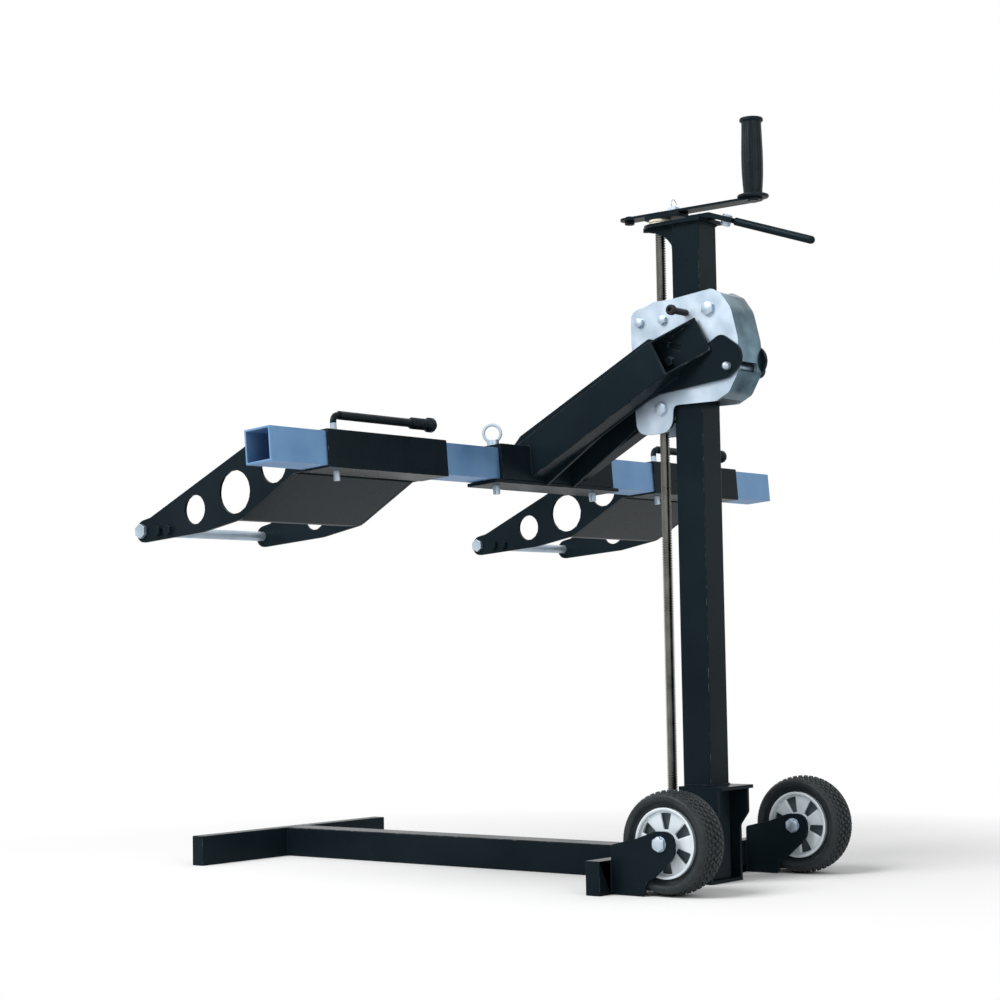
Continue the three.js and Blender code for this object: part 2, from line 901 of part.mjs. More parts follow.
function crankGrip() {
  const flangeTop = gripBottom + gripFlangeThickness;
  const top = gripBottom + gripLength;
  const swellHeight = top - gripFlangeThickness - flangeTop;
  const bore = gripSpindleRadius + runningGap;
  const boreTop = top - gripRoof + runningGap;
  const swell = gripSwellShares.map(([out, up]) => [gripRadius * out, flangeTop + up * swellHeight]);
  const profile = [
    [bore, gripBottom],
    [gripFlangeRadius, gripBottom],
    [gripFlangeRadius, flangeTop],
    ...swell,
    [gripLipRadius, top - gripFlangeThickness],
    [gripLipRadius, top],
    [0, top],
    [0, boreTop],
    [bore, boreTop],
    [bore, gripBottom],
  ];
  return revolved(profile, 20).translate(0, -crankRadius, 0);
}

function crankAssembly() {
  const group = new THREE.Group();
  group.add(
    part("lead_screw", "steel", leadScrew()),
    part("crank_hub", "black", crankHub()),
    part("crank_arm", "black", crankArm()),
    part("crank_stop_bolt", "black", crankStopBolt()),
    part("grip_spindle", "steel", gripSpindle()),
    part("crank_clip", "zinc", crankClip()),
    part("crank_grip", "rubber", crankGrip()),
  );
  group.position.y = screwOffset;
  return group;
}

// Carriage.

const rollerPlace = -(postSize / 2 + runningGap + rollerRadius);
const rollerHeight = carriageBottom + rollerRise;
const lowerRollerHeight = carriageBottom + lowerRollerRise;
const pullPinLevel = carriageBottom + pullPinRise;
const nutBracketTop = carriageBottom + nutBracketRise;
const armPinLevel = carriageBottom + armPinRise;
const lowerRollerPlace = -rollerPlace;
const carriageInside = carriageWidth / 2 - carriageWall;
const nutBracketLevel = nutBracketTop - nutBracketBoltDrop;

const rollerBolts = [
  ["upper_roller_bolt", rollerPlace, rollerHeight, rollerAxleRadius, largeHeadRadius],
  ["lower_roller_bolt", lowerRollerPlace, lowerRollerHeight, rollerAxleRadius, largeHeadRadius],
];
const bracketBolts = [
  ["bracket_bolt_rear", screwOffset - nutBracketRearBolt, nutBracketLevel, nutBracketBoltRadius, smallHeadRadius],
  ["bracket_bolt_front", screwOffset + nutBracketFrontBolt, nutBracketLevel, nutBracketBoltRadius, smallHeadRadius],
];
const carriageBolts = [...rollerBolts, ...bracketBolts];

// A channel of two side plates and a rear web, bent from one outline.
function carriageShell() {
  const half = carriageWidth / 2;
  const outline = laidOut(carriageOutlineShares, -carriageRear, carriageBottom, carriageDepth, carriageHeight);
  const shell = slabAlongX(outline, -half, half);
  // The hollow follows the outline, moved forward by the web's thickness, and opens at the front.
  const hollow = slabAlongX(outline, -carriageInside, carriageInside).translate(0, carriageWall, 0);
  const hollowFront = block(
    [-carriageInside, -carriageRear + carriageDepth * carriageOutlineShares[3][0] + carriageWall, carriageBottom - overrun],
    [carriageInside, carriageDepth, carriageBottom + carriageHeight + overrun],
  );
  const slot = block(
    [-carriageInside, -carriageRear - overrun, armPinLevel - webSlotHeight / 2],
    [-carriageInside + webSlotWidth, -carriageRear + carriageDepth / 4, armPinLevel + webSlotHeight / 2],
  );
  const holes = carriageBolts.map(([, y, z, radius]) =>
    barAlongX(radius + runningGap, -half - overrun, half + overrun, y, z, 12),
  );
  const pinHole = barAlongX(armPinRadius + runningGap, -half - overrun, half + overrun, -armPinPlace, armPinLevel, 14);
  const pullHole = barAlongX(
    pullPinNoseRadius + runningGap,
    -half - overrun,
    -carriageInside + overrun,
    -pullPinPlace,
    pullPinLevel,
    12,
  );
  return cut(shell, hollow, hollowFront, slot, pinHole, pullHole, ...holes);
}

function nutBracket() {
  const half = carriageInside;
  const rear = screwOffset - nutBracketRearBolt - smallHeadRadius;
  const body = block(
    [-half, rear, nutBracketTop - nutBracketHeight],
    [half, rear + nutBracketDepth, nutBracketTop],
  );
  const bore = barAlongZ(
    screwRadius + runningGap,
    nutBracketTop - nutBracketHeight - overrun,
    nutBracketTop + overrun,
    0,
    screwOffset,
  );
  const seats = bracketBolts.map(([, y, z, radius]) =>
    barAlongX(radius + runningGap, -half - overrun, half + overrun, y, z, 16),
  );
  return cut(body, bore, ...seats);
}

function driveNut() {
  const top = nutBracketTop - nutBracketHeight;
  const bore = screwRadius + runningGap;
  const profile = [
    [bore, top - driveNutHeight],
    [driveNutRadius, top - driveNutHeight],
    [driveNutRadius, top - driveNutFlange],
    [driveNutFlangeRadius, top - driveNutFlange],
    [driveNutFlangeRadius, top],
    [bore, top],
    [bore, top - driveNutHeight],
  ];
  return revolved(profile, 20).translate(0, screwOffset, 0);
}

function roller(radius, y, z) {
  const bore = rollerAxleRadius + runningGap;
  const half = carriageInside - runningGap;
  const chamfer = radius / 10;
  return revolvedAboutX(
    [
      [bore, -half],
      [radius - chamfer, -half],
      [radius, -half + chamfer],
      [radius, half - chamfer],
      [radius - chamfer, half],
      [bore, half],
      [bore, -half],
    ],
    24,
  ).translate(0, y, z);
}

// The front roller is waisted, so that the lead screw passes it.
function waistedRoller(radius, y, z) {
  const half = lowerRollerWaistWidth / 2;
  const band = [
    [lowerRollerWaist, -half],
    [radius + overrun, -half],
    [radius + overrun, half],
    [lowerRollerWaist, half],
    [lowerRollerWaist, -half],
  ];
  return cut(roller(radius, y, z), revolvedAboutX(band, 24).translate(0, y, z));
}

// A pull pin through the left plate, with a flanged knob at its outer end.
function pullPin() {
  const face = -carriageWidth / 2 - runningGap;
  const tip = -carriageWidth / 2 - pullPinLength;
  const nose = -carriageInside + pullPinNoseReach;
  const dish = pullPinNoseRadius - runningGap;
  const chamfer = pullPinNoseRadius / 3;
  return revolvedAboutX(
    [
      [0, tip + dish],
      [dish, tip + dish],
      [dish, tip],
      [pullPinKnobRadius - chamfer, tip],
      [pullPinKnobRadius, tip + chamfer],
      [pullPinKnobRadius, tip + pullPinKnobLength],
      [pullPinRadius, tip + pullPinKnobLength],
      [pullPinRadius, face],
      [pullPinNoseRadius, face],
      [pullPinNoseRadius, nose - chamfer],
      [pullPinNoseRadius - chamfer, nose],
      [0, nose],
    ],
    16,
  ).translate(0, -pullPinPlace, pullPinLevel);
}

// Arm, fixed on the carriage.

const cheekBottom = carriageBottom - cheekDrop;
const railTopLevel = carriageBottom + railTopRise;
const armBoltLevel = carriageBottom + armBoltRise;
const armSlotLevel = carriageBottom + armSlotRise;
const headLevel = carriageBottom - headDrop;
const cheekInside = carriageWidth / 2;
const cheekOutside = cheekInside + cheekThickness;
const railOutside = cheekOutside + railWidth;
const slopeAngle = THREE.MathUtils.degToRad(armSlope);

// Places a form made level, with its top rear corner at the origin, on the arm's slope.
function onArmSlope(geometry) {
  return geometry.rotateX(-slopeAngle).translate(0, -railTopRear, railTopLevel);
}

// Places a form made in the head's own frame.
function onHead(geometry) {
  return geometry.rotateX(-THREE.MathUtils.degToRad(headTilt)).translate(0, headPlace, headLevel);
}

const bracketHalf = crossTubeSize / 2 + seatGap + bracketWall;

// The space that the head bracket takes out of the arm's front end.
function headClearance() {
  const half = bracketLength;
  const rear = -bracketHalf - seatGap;
  return onHead(block([-half, rear, -cheekHeight], [half, cheekDepth, bracketHalf + seatGap]));
}

function armCheek() {
  const outline = laidOut(cheekOutlineShares, -cheekRear, cheekBottom, cheekDepth, cheekHeight);
  const plate = slabAlongX(outline, cheekInside, cheekOutside);
  const pinHole = barAlongX(
    armPinRadius + runningGap,
    cheekInside - overrun,
    cheekOutside + overrun,
    -armPinPlace,
    armPinLevel,
    14,
  );
  return cut(plate, headClearance(), pinHole);
}

function armSlotCutter() {
  const along = [armSlotPlace - armBoltPlace, armSlotLevel - armBoltLevel];
  const angle = Math.atan2(along[1], along[0]) - Math.PI / 2;
  return block(
    [cheekInside - overrun, -armSlotLength / 2, -armSlotWidth / 2],
    [railOutside - railWall - overrun, armSlotLength / 2, armSlotWidth / 2],
  )
    .rotateX(angle)
    .translate(0, armSlotPlace, armSlotLevel);
}

// A side rail of the arm: a rectangular tube whose open rear end is cut on a long scarf.
function armRail() {
  const outer = block([cheekOutside, 0, -railDepth], [railOutside, railLength, 0]);
  const bore = block(
    [cheekOutside + railWall, -overrun, -railDepth + railWall],
    [railOutside - railWall, railLength + overrun, -railWall],
  );
  const wedge = new THREE.Shape();
  wedge.moveTo(cheekOutside, -overrun);
  wedge.lineTo(cheekOutside, 0);
  wedge.lineTo(cheekOutside + railWall, 0);
  wedge.lineTo(railOutside, railScarf);
  wedge.lineTo(railOutside + overrun, railScarf);
  wedge.lineTo(railOutside + overrun, -overrun);
  wedge.closePath();
  const scarf = slabAlongZ(wedge, -railDepth - overrun, overrun);
  const rail = onArmSlope(cut(outer, bore, scarf));
  const boltHead = hexHead(smallHeadRadius, headHeight).translate(cheekOutside + railWall, armBoltPlace, armBoltLevel);
  return join(cut(rail, headClearance(), armSlotCutter()), boltHead);
}

function armWeb() {
  const top = -armWebDrop;
  const rear = carriageDepth - carriageRear + runningGap;
  const front = rear + armWebLength;
  const [lowY, lowZ] = cheekOutlineShares[8];
  const [highY, highZ] = cheekOutlineShares[9];
  const slope = ((highZ - lowZ) * cheekHeight) / ((highY - lowY) * cheekDepth);
  const edgeAt = (y) => cheekBottom + highZ * cheekHeight + slope * (y - (highY * cheekDepth - cheekRear));
  const shape = new THREE.Shape();
  shape.moveTo(rear, edgeAt(rear) + top);
  shape.lineTo(rear, edgeAt(rear) + top - armWebThickness);
  shape.lineTo(front, edgeAt(front) + top - armWebThickness);
  shape.lineTo(front, edgeAt(front) + top);
  shape.closePath();
  return cut(slabAlongX(shape, -cheekInside, cheekInside), headClearance());
}

function armLockPin() {
  const left = -cheekOutside - armPinTip;
  const right = cheekOutside + armPinTail;
  return join(
    barAlongX(armPinRadius, left, right, -armPinPlace, armPinLevel, 14),
    new THREE.SphereGeometry(armPinRadius, 14, 8).translate(left, -armPinPlace, armPinLevel),
  );
}

function armPinKnob() {
  const left = cheekOutside + armPinTail - armKnobLength + armPinRadius;
  const right = left + armKnobLength;
  const bore = armPinRadius + seatGap;
  const neck = (armKnobRadius + bore) / 2;
  const chamfer = armKnobRadius / 4;
  const boreEnd = cheekOutside + armPinTail + seatGap;
  return revolvedAboutX(
    [
      [bore, left],
      [neck, left],
      [armKnobRadius - chamfer / 2, left + chamfer],
      [armKnobRadius, left + 2 * chamfer],
      [armKnobRadius, right - chamfer],
      [armKnobRadius - chamfer, right],
      [0, right],
      [0, boreEnd],
      [bore, boreEnd],
      [bore, left],
    ],
    18,
  ).translate(0, -armPinPlace, armPinLevel);
}

// Head, drawn in its own frame: the cross tube's axis is the origin.

const tubeHalf = crossTubeSize / 2;
const basePlateTop = -tubeHalf - seatGap;
const sleeveInside = tubeHalf + runningGap;
const sleeveHalf = sleeveInside + sleeveWall;
const cradleMiddle = cradleSpacing / 2;
const cradlePinPlaces = [
  ["left", -cradleMiddle - sleeveLength / 2 + cradlePinInset],
  ["right", cradleMiddle - sleeveLength / 2 + cradlePinInset],
];

function pinHoles(radius, place, low, high) {
  return barAlongZ(radius + runningGap, low - overrun, high + overrun, place, 0, 12);
}

function crossTube() {
  const tube = tubeAlongX(crossTubeLength, crossTubeSize, crossTubeSize, crossTubeWall, 0, 0);
  return cut(
    tube,
    ...cradlePinPlaces.map(([, place]) => pinHoles(cradlePinRadius, place, -tubeHalf, tubeHalf)),
    ...sides.map(([, side]) => pinHoles(ringPinRadius, side * ringPinPlace, -tubeHalf, tubeHalf)),
  );
}

// A channel over the cross tube, closed below by the base plate.
function headBracket() {
  const inside = tubeHalf + seatGap;
  const outer = block([-bracketLength / 2, -bracketHalf, basePlateTop], [bracketLength / 2, bracketHalf, bracketHalf]);
  const channel = block([-bracketLength, -inside, basePlateTop - overrun], [bracketLength, inside, inside]);
  const holes = sides.map(([, side]) => pinHoles(ringPinRadius, side * ringPinPlace, 0, bracketHalf));
  const heads = sides.map(([, side]) =>
    barAlongZ(headBoltRadius, bracketHalf, bracketHalf + headHeight, side * headBoltPlace, 0, 6),
  );
  return join(cut(outer, channel, ...holes), ...heads);
}

function headBasePlate() {
  const top = basePlateTop - seatGap;
  const bottom = top - basePlateThickness;
  const plate = block([-basePlateLength / 2, -bracketHalf, bottom], [basePlateLength / 2, bracketHalf, top]);
  return cut(plate, ...sides.map(([, side]) => pinHoles(ringPinRadius, side * ringPinPlace, bottom, top)));
}

function ringPin(side) {
  const bottom = basePlateTop - basePlateThickness - ringPinTip;
  const seat = bracketHalf + seatGap;
  const place = side * ringPinPlace;
  const ringLevel = seat + ringPinCollar + ringRadius - ringWire;
  const turn = THREE.MathUtils.degToRad(ringTurn);
  return join(
    barAlongZ(ringPinRadius, bottom, seat + ringPinCollar / 2, place, 0, 12),
    barAlongZ(ringPinCollar, seat, seat + ringPinCollar, place, 0, 16),
    wireRing(ringRadius, 2 * ringWire, 18, 6).rotateZ(-turn).translate(place, 0, ringLevel),
  );
}

// Cradle, drawn with its sleeve's middle at X = 0.

const cradleFace = sleeveHalf + seatGap;
const cradleLength = cradleReach;

function cradlePoint([along, down]) {
  return [cradleFace + along * cradleLength, sleeveHalf + down * cradleDepth];
}

function cradleSleeve(place) {
  const outer = tubeAlongX(sleeveLength, 2 * sleeveHalf, 2 * sleeveHalf, sleeveWall, 0, 0);
  return cut(outer, pinHoles(cradlePinRadius, place, -sleeveHalf, sleeveHalf));
}

// A side plate with its inner face at X = 0 and its bolt heads outside.
function cradlePlate() {
  const outline = laidOut(cradleOutlineShares, cradleFace, sleeveHalf, cradleLength, cradleDepth);
  cradleHoleShares.forEach((shares, index) => {
    const [y, z] = cradlePoint(shares);
    outline.holes.push(new THREE.Path().absarc(y, z, cradleHoleRadii[index], 0, 2 * Math.PI));
  });
  const [rodY, rodZ] = cradlePoint(cradleRodShares);
  outline.holes.push(new THREE.Path().absarc(rodY, rodZ, cradleRodRadius + runningGap, 0, 2 * Math.PI));
  const heads = cradleBoltShares.map((shares) => {
    const [y, z] = cradlePoint(shares);
    return hexHead(smallHeadRadius, headHeight).translate(cradlePlateThickness, y, z);
  });
  return join(slabAlongX(outline, 0, cradlePlateThickness), ...heads);
}

// The sheet that the tyre leans on: it follows the plates' lower rear edge and turns up in a lip.
function cradlePanel() {
  const half = sleeveLength / 2 - cradlePlateThickness - seatGap;
  const start = cradlePoint(cradleOutlineShares[7]);
  const end = cradlePoint(cradleOutlineShares[6]);
  const run = new THREE.Vector2(end[0] - start[0], end[1] - start[1]).normalize();
  const inward = new THREE.Vector2(-run.y, run.x).multiplyScalar(panelThickness);
  const shape = new THREE.Shape();
  shape.moveTo(start[0], start[1]);
  shape.lineTo(end[0], end[1]);
  shape.lineTo(end[0] + panelLip, end[1]);
  shape.lineTo(end[0] + panelLip, end[1] + panelThickness);
  shape.lineTo(end[0] + inward.x / 2, end[1] + panelThickness);
  shape.lineTo(start[0] + inward.x, start[1] + inward.y);
  shape.closePath();
  return slabAlongX(shape, -half, half);
}

function cradleRod() {
  const [y, z] = cradlePoint(cradleRodShares);
  const half = sleeveLength / 2 + seatGap;
  return boltAlongX(cradleRodRadius, largeHeadRadius + seatGap, -half, half, y, z);
}

// A pin with a long handle bent level above the sleeve.
function cradlePin(place) {
  const bottom = -sleeveHalf - cradlePinTip;
  const level = sleeveHalf + cradlePinRise;
  const bendStart = level - cradlePinBend;
  const bend = new THREE.QuadraticBezierCurve3(
    new THREE.Vector3(place, 0, bendStart),
    new THREE.Vector3(place, 0, level),
    new THREE.Vector3(place + cradlePinBend, 0, level),
  );
  const section = new THREE.Shape().absarc(0, 0, cradlePinRadius, 0, 2 * Math.PI);
  const elbow = new THREE.ExtrudeGeometry(section, { extrudePath: bend, steps: 5, curveSegments: 6 });
  const end = place + cradleHandleLength - cradleGripLength / 2;
  return join(
    barAlongZ(cradlePinRadius, bottom, bendStart + seatGap, place, 0, 12),
    elbow,
    barAlongX(cradlePinRadius, place + cradlePinBend - seatGap, end, 0, level, 12),
  );
}

function cradleGrip(place) {
  const level = sleeveHalf + cradlePinRise;
  const bore = cradlePinRadius + seatGap;
  const left = place + cradleHandleLength - cradleGripLength;
  const right = left + cradleGripLength;
  const ballCentre = right - cradleBallRadius;
  const ribPitch = (ballCentre - cradleBallRadius - left) / cradleGripRibs;
  const groove = ribPitch / 4;
  const sheathStart = place + cradlePinBend + seatGap;
  const profile = [[bore, sheathStart], [cradleSheathRadius, sheathStart], [cradleSheathRadius, left]];
  for (let rib = 0; rib < cradleGripRibs; rib += 1) {
    const start = left + rib * ribPitch;
    profile.push([cradleGripRadius - groove, start], [cradleGripRadius, start + ribPitch / 2]);
  }
  const ballSteps = 5;
  for (let step = 1; step <= ballSteps; step += 1) {
    const angle = (Math.PI * step) / ballSteps;
    profile.push([cradleBallRadius * Math.sin(angle), ballCentre - cradleBallRadius * Math.cos(angle)]);
  }
  const boreEnd = place + cradleHandleLength - cradleGripLength / 2 + seatGap;
  profile.push([0, boreEnd], [bore, boreEnd], [bore, sheathStart]);
  return revolvedAboutX(profile, 12).translate(0, 0, level);
}

function cradle(name, middle, pinPlace) {
  const group = new THREE.Group();
  const outwards = Math.sign(middle);
  const inside = sleeveLength / 2 - cradlePlateThickness;
  const rightPlate = cradlePlate().translate(inside, 0, 0);
  const leftPlate = onSide(cradlePlate().translate(inside, 0, 0), -1);
  group.add(
    part(`cradle_sleeve_${name}`, "black", cradleSleeve(pinPlace - middle)),
    part(`cradle_plate_outer_${name}`, "black", outwards > 0 ? rightPlate : leftPlate),
    part(`cradle_plate_inner_${name}`, "black", outwards > 0 ? leftPlate : rightPlate),
    part(`cradle_panel_${name}`, "black", cradlePanel()),
    part(`cradle_rod_${name}`, "zinc", cradleRod()),
  );
  group.position.x = middle;
  return group;
}

function head() {
  const group = new THREE.Group();
  group.add(
    part("head_bracket", "black", headBracket()),
    part("head_base_plate", "black", headBasePlate()),
    part("cross_tube", "zinc", crossTube()),
  );
  sides.forEach(([name, side]) => {
    group.add(part(`ring_pin_${name}`, "zinc", ringPin(side)));
  });
  cradlePinPlaces.forEach(([name, place]) => {
    const middle = name === "left" ? -cradleMiddle : cradleMiddle;
    group.add(cradle(name, middle, place));
    group.add(part(`cradle_pin_${name}`, "zinc", cradlePin(place)));
    group.add(part(`cradle_grip_${name}`, "plastic", cradleGrip(place)));
  });
  group.rotation.x = -THREE.MathUtils.degToRad(headTilt);
  group.position.set(0, headPlace, headLevel);
  return group;
}

// Assembly.

function base() {
  const group = new THREE.Group();
  const tube = tubeAlongY(baseTubeSize, baseTubeSize, baseTubeWall, rearBarFront, footBack);
  const fork = wheelFork();
  const rearBar = crossBar(rearBarLength, rearBarDepth, rearBarWall, rearBarMiddle, rearBarFront);
  group.add(
    part("base_tube", "black", tube),
    part("front_foot", "black", crossBar(footLength, footDepth, footWall, footMiddle, footBack)),
    part("rear_bar", "black", join(rearBar, fork, onSide(fork, -1))),
    part("post_socket", "black", postSocket()),
    part("screw_foot", "black", screwFoot()),
  );
  sides.forEach(([name, side]) => {
    group.add(
      part(`wheel_bolt_${name}`, "zinc", onSide(wheelBolt(), side)),
      part(`tyre_${name}`, "rubber", onSide(tyre(), side)),
      part(`rim_${name}`, "rim", onSide(rim(), side)),
    );
  });
  return group;
}

function mast() {
  const group = new THREE.Group();
  group.add(
    part("post", "black", post()),
    part("top_plate", "black", topPlate()),
    part("thrust_bearing", "nylon", thrustBearing()),
    part("handle_strap", "black", handleStrap()),
    part("handle_rod", "black", handleRod()),
    part("handle_bolt", "zinc", handleBolt()),
  );
  return group;
}

function carriage() {
  const group = new THREE.Group();
  group.add(
    part("carriage_shell", "zinc", carriageShell()),
    part("nut_bracket", "zinc", nutBracket()),
    part("drive_nut", "brass", driveNut()),
    ...carriageBolts.map(([name, y, z, radius, head]) =>
      part(name, "zinc", boltAlongX(radius, head, -carriageWidth / 2, carriageWidth / 2, y, z)),
    ),
    part("pull_pin", "black", pullPin()),
    part("upper_roller", "steel", roller(rollerRadius, rollerPlace, rollerHeight)),
    part("lower_roller", "steel", waistedRoller(rollerRadius, lowerRollerPlace, lowerRollerHeight)),
    part("arm_web", "black", armWeb()),
    part("arm_lock_pin", "zinc", armLockPin()),
    part("arm_pin_knob", "plastic", armPinKnob()),
  );
  sides.forEach(([name, side]) => {
    group.add(
      part(`arm_cheek_${name}`, "black", onSide(armCheek(), side)),
      part(`arm_rail_${name}`, "black", onSide(armRail(), side)),
    );
  });
  return group;
}

const lift = new THREE.Group();
lift.add(base(), mast(), crankAssembly(), carriage(), head());

// The part's own origin: the middle of its footprint, on the floor.
lift.updateMatrixWorld(true);
const bounds = new THREE.Box3().setFromObject(lift);
lift.position.y = -(bounds.min.y + bounds.max.y) / 2;

export default lift;
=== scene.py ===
# %% [markdown]
# # A screw lift in painted steel
#
# The lift is a square post on a T-shaped base with two wheels. A crank turns
# a long screw, the screw raises a zinc plated carriage, and the carriage holds
# an arm with two cradles on a cross tube. Almost everything is cut, bent and
# welded steel, so the looks come from four things: rounded edges that catch
# light, paint with a fine grain, bare metal where paint has rubbed off, and
# the small parts that repeat, such as bolts, weld beads and tread blocks.

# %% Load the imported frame
import json
import math

import bmesh
import bpy
from mathutils import Matrix, Vector

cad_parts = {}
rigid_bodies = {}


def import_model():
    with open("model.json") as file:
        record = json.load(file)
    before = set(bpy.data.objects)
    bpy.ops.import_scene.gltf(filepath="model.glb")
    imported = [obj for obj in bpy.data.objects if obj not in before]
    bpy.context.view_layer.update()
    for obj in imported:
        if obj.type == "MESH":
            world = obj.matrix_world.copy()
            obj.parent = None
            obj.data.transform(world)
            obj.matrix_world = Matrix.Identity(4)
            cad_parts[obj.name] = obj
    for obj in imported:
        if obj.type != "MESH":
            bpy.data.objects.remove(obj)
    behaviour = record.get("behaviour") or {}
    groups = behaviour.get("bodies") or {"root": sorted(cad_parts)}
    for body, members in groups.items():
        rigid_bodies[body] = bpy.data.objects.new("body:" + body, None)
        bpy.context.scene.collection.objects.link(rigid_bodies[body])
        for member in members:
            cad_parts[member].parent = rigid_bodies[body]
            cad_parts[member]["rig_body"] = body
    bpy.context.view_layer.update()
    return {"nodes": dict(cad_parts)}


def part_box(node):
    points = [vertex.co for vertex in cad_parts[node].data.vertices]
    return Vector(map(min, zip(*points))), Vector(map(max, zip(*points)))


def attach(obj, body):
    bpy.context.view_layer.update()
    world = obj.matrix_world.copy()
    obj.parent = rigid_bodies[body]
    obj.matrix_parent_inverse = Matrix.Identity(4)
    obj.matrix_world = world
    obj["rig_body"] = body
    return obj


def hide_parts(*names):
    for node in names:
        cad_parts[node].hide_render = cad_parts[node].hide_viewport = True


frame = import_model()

scene = bpy.context.scene


# %% [markdown]
# ## Camera
#
# The photograph was taken from behind the lift, to its left and low, with a
# long lens. The place and the turn were fitted to points on straight edges,
# so they are typed in as measured. The lens comes from the same fit.

# %% Place the camera
CAMERA_PLACE = (-2.79285, -2.19802, 0.36402)
CAMERA_TURN = (94.0133, 0.9703, -51.0233)
CAMERA_LENS = 76.70
SENSOR_WIDTH = 36.0


def link_object(name, data):
    """A new object in the scene, at the origin."""
    made = bpy.data.objects.new(name, data)
    scene.collection.objects.link(made)
    return made


camera_data = bpy.data.cameras.new("camera")
camera_data.lens = CAMERA_LENS
camera_data.sensor_width = SENSOR_WIDTH
camera_data.clip_end = 100
camera = link_object("camera", camera_data)
camera.location = CAMERA_PLACE
camera.rotation_euler = [math.radians(angle) for angle in CAMERA_TURN]
scene.camera = camera
scene.view_settings.view_transform = "Standard"
print("lens:", camera_data.lens)

# %% [markdown]
# ## Reading node trees easily
#
# Shader trees and Geometry Nodes trees are built the same way: a node is
# added, its settings are chosen, and each input gets a value or a link. One
# helper does all three, so each tree reads from top to bottom. The sums have
# short names of their own, and find their tree through a socket they are given.


# %% Helpers that add nodes
def add_node(tree, kind, settings=None, inputs=None):
    """A new node. The keys of inputs are socket names or numbers; a socket as value makes a link."""
    made = tree.nodes.new(kind)
    for name, value in (settings or {}).items():
        setattr(made, name, value)
    for key, value in (inputs or {}).items():
        socket = made.inputs[key]
        if isinstance(value, bpy.types.NodeSocket):
            tree.links.new(value, socket)
        else:
            socket.default_value = value
    return made


def result(tree, kind, settings=None, inputs=None):
    """The first output of a new node."""
    return add_node(tree, kind, settings, inputs).outputs[0]


def maths(operation, first, second=0.0, clamp=False):
    """The result of one sum on two values, at least one of them a socket."""
    socket = first if isinstance(first, bpy.types.NodeSocket) else second
    settings = {"operation": operation, "use_clamp": clamp}
    return result(socket.id_data, "ShaderNodeMath", settings, {0: first, 1: second})


def plus(first, second):
    return maths("ADD", first, second)


def minus(first, second):
    return maths("SUBTRACT", first, second)


def times(first, second):
    return maths("MULTIPLY", first, second)


def over(first, second):
    return maths("DIVIDE", first, second)


def mix_colours(mask, first, second):
    """First where the mask is 0, second where it is 1.

    The node has sockets of the same name for each kind of data, so they go by number.
    """
    inputs = {"Factor": mask, 6: first, 7: second}
    return add_node(mask.id_data, "ShaderNodeMix", {"data_type": "RGBA"}, inputs).outputs[2]


def mix_values(mask, first, second):
    """The same for plain numbers."""
    inputs = {"Factor": mask, 2: first, 3: second}
    return result(mask.id_data, "ShaderNodeMix", {"data_type": "FLOAT"}, inputs)


def stretch(value, low, high):
    """Value moved from the range low to high onto 0 to 1."""
    inputs = {"Value": value, "From Min": low, "From Max": high}
    return result(value.id_data, "ShaderNodeMapRange", {}, inputs)


def vector(tree, x=0.0, y=0.0, z=0.0):
    return result(tree, "ShaderNodeCombineXYZ", {}, {"X": x, "Y": y, "Z": z})


def split(vector_socket):
    """The x, y and z of a vector."""
    return add_node(vector_socket.id_data, "ShaderNodeSeparateXYZ", {}, {0: vector_socket}).outputs


# %% [markdown]
# A shader group and a Geometry Nodes tree both have named inputs and outputs.
# An input is given as a number, its usual value, or as the kind of its socket
# where it has no such value, as for a geometry.

# %% Start a tree
FLOAT, GEOMETRY, MATERIAL = "NodeSocketFloat", "NodeSocketGeometry", "NodeSocketMaterial"
KIND_OF = {float: FLOAT, int: "NodeSocketInt"}


def new_tree(kind, name, inputs, outputs):
    """An empty tree, the sockets of its inputs and the sockets of its outputs."""
    tree = bpy.data.node_groups.new(name, kind)
    for socket_name, value in inputs.items():
        has_value = not isinstance(value, str)
        socket = tree.interface.new_socket(
            socket_name, in_out="INPUT", socket_type=KIND_OF[type(value)] if has_value else value
        )
        if has_value:
            socket.default_value = value
    for socket_name, socket_kind in outputs.items():
        tree.interface.new_socket(socket_name, in_out="OUTPUT", socket_type=socket_kind)
    return tree, add_node(tree, "NodeGroupInput").outputs, add_node(tree, "NodeGroupOutput").inputs


# %% [markdown]
# ## Effects that several finishes share
#
# Paint, plating and rubber differ in colour, but wear, grain and dust work
# alike on all of them. Each effect is one node group with named inputs. The
# groups put out masks and heights only, and the shader stays in the material.
#
# Wear needs to know where an edge is. When an edge is rounded further below,
# the script writes 1 on the points along its crest in an attribute named
# edge, so the group reads it and breaks it up with noise.

# %% The group for worn edges
WORN_FROM, WORN_TO = 0.16, 0.34


def noise_in(tree, scale, detail):
    """Noise on Object coordinates, so it stays on the piece when the piece moves."""
    place = add_node(tree, "ShaderNodeTexCoord").outputs["Object"]
    inputs = {"Vector": place, "Scale": scale, "Detail": detail}
    return result(tree, "ShaderNodeTexNoise", {}, inputs)


def build_worn_edges():
    tree, given, out = new_tree(
        "ShaderNodeTree", "worn edges", {"Amount": 0.5, "Patch size": 90.0}, {"Mask": FLOAT}
    )
    edge = add_node(tree, "ShaderNodeAttribute", {"attribute_name": "edge"}).outputs["Fac"]
    reach = times(noise_in(tree, given["Patch size"], detail=4.0), given["Amount"])
    tree.links.new(stretch(times(edge, reach), WORN_FROM, WORN_TO), out["Mask"])
    return tree


worn_edges = build_worn_edges()
print("group:", worn_edges.name)

# %% [markdown]
# Sprayed paint and plating have a fine grain, felt more than seen, and slow
# clouds where the coat is thicker or thinner. Both are noise, at two scales. A
# picture of real paint would do too, but it shows where it repeats, and it
# blurs when the camera comes close.

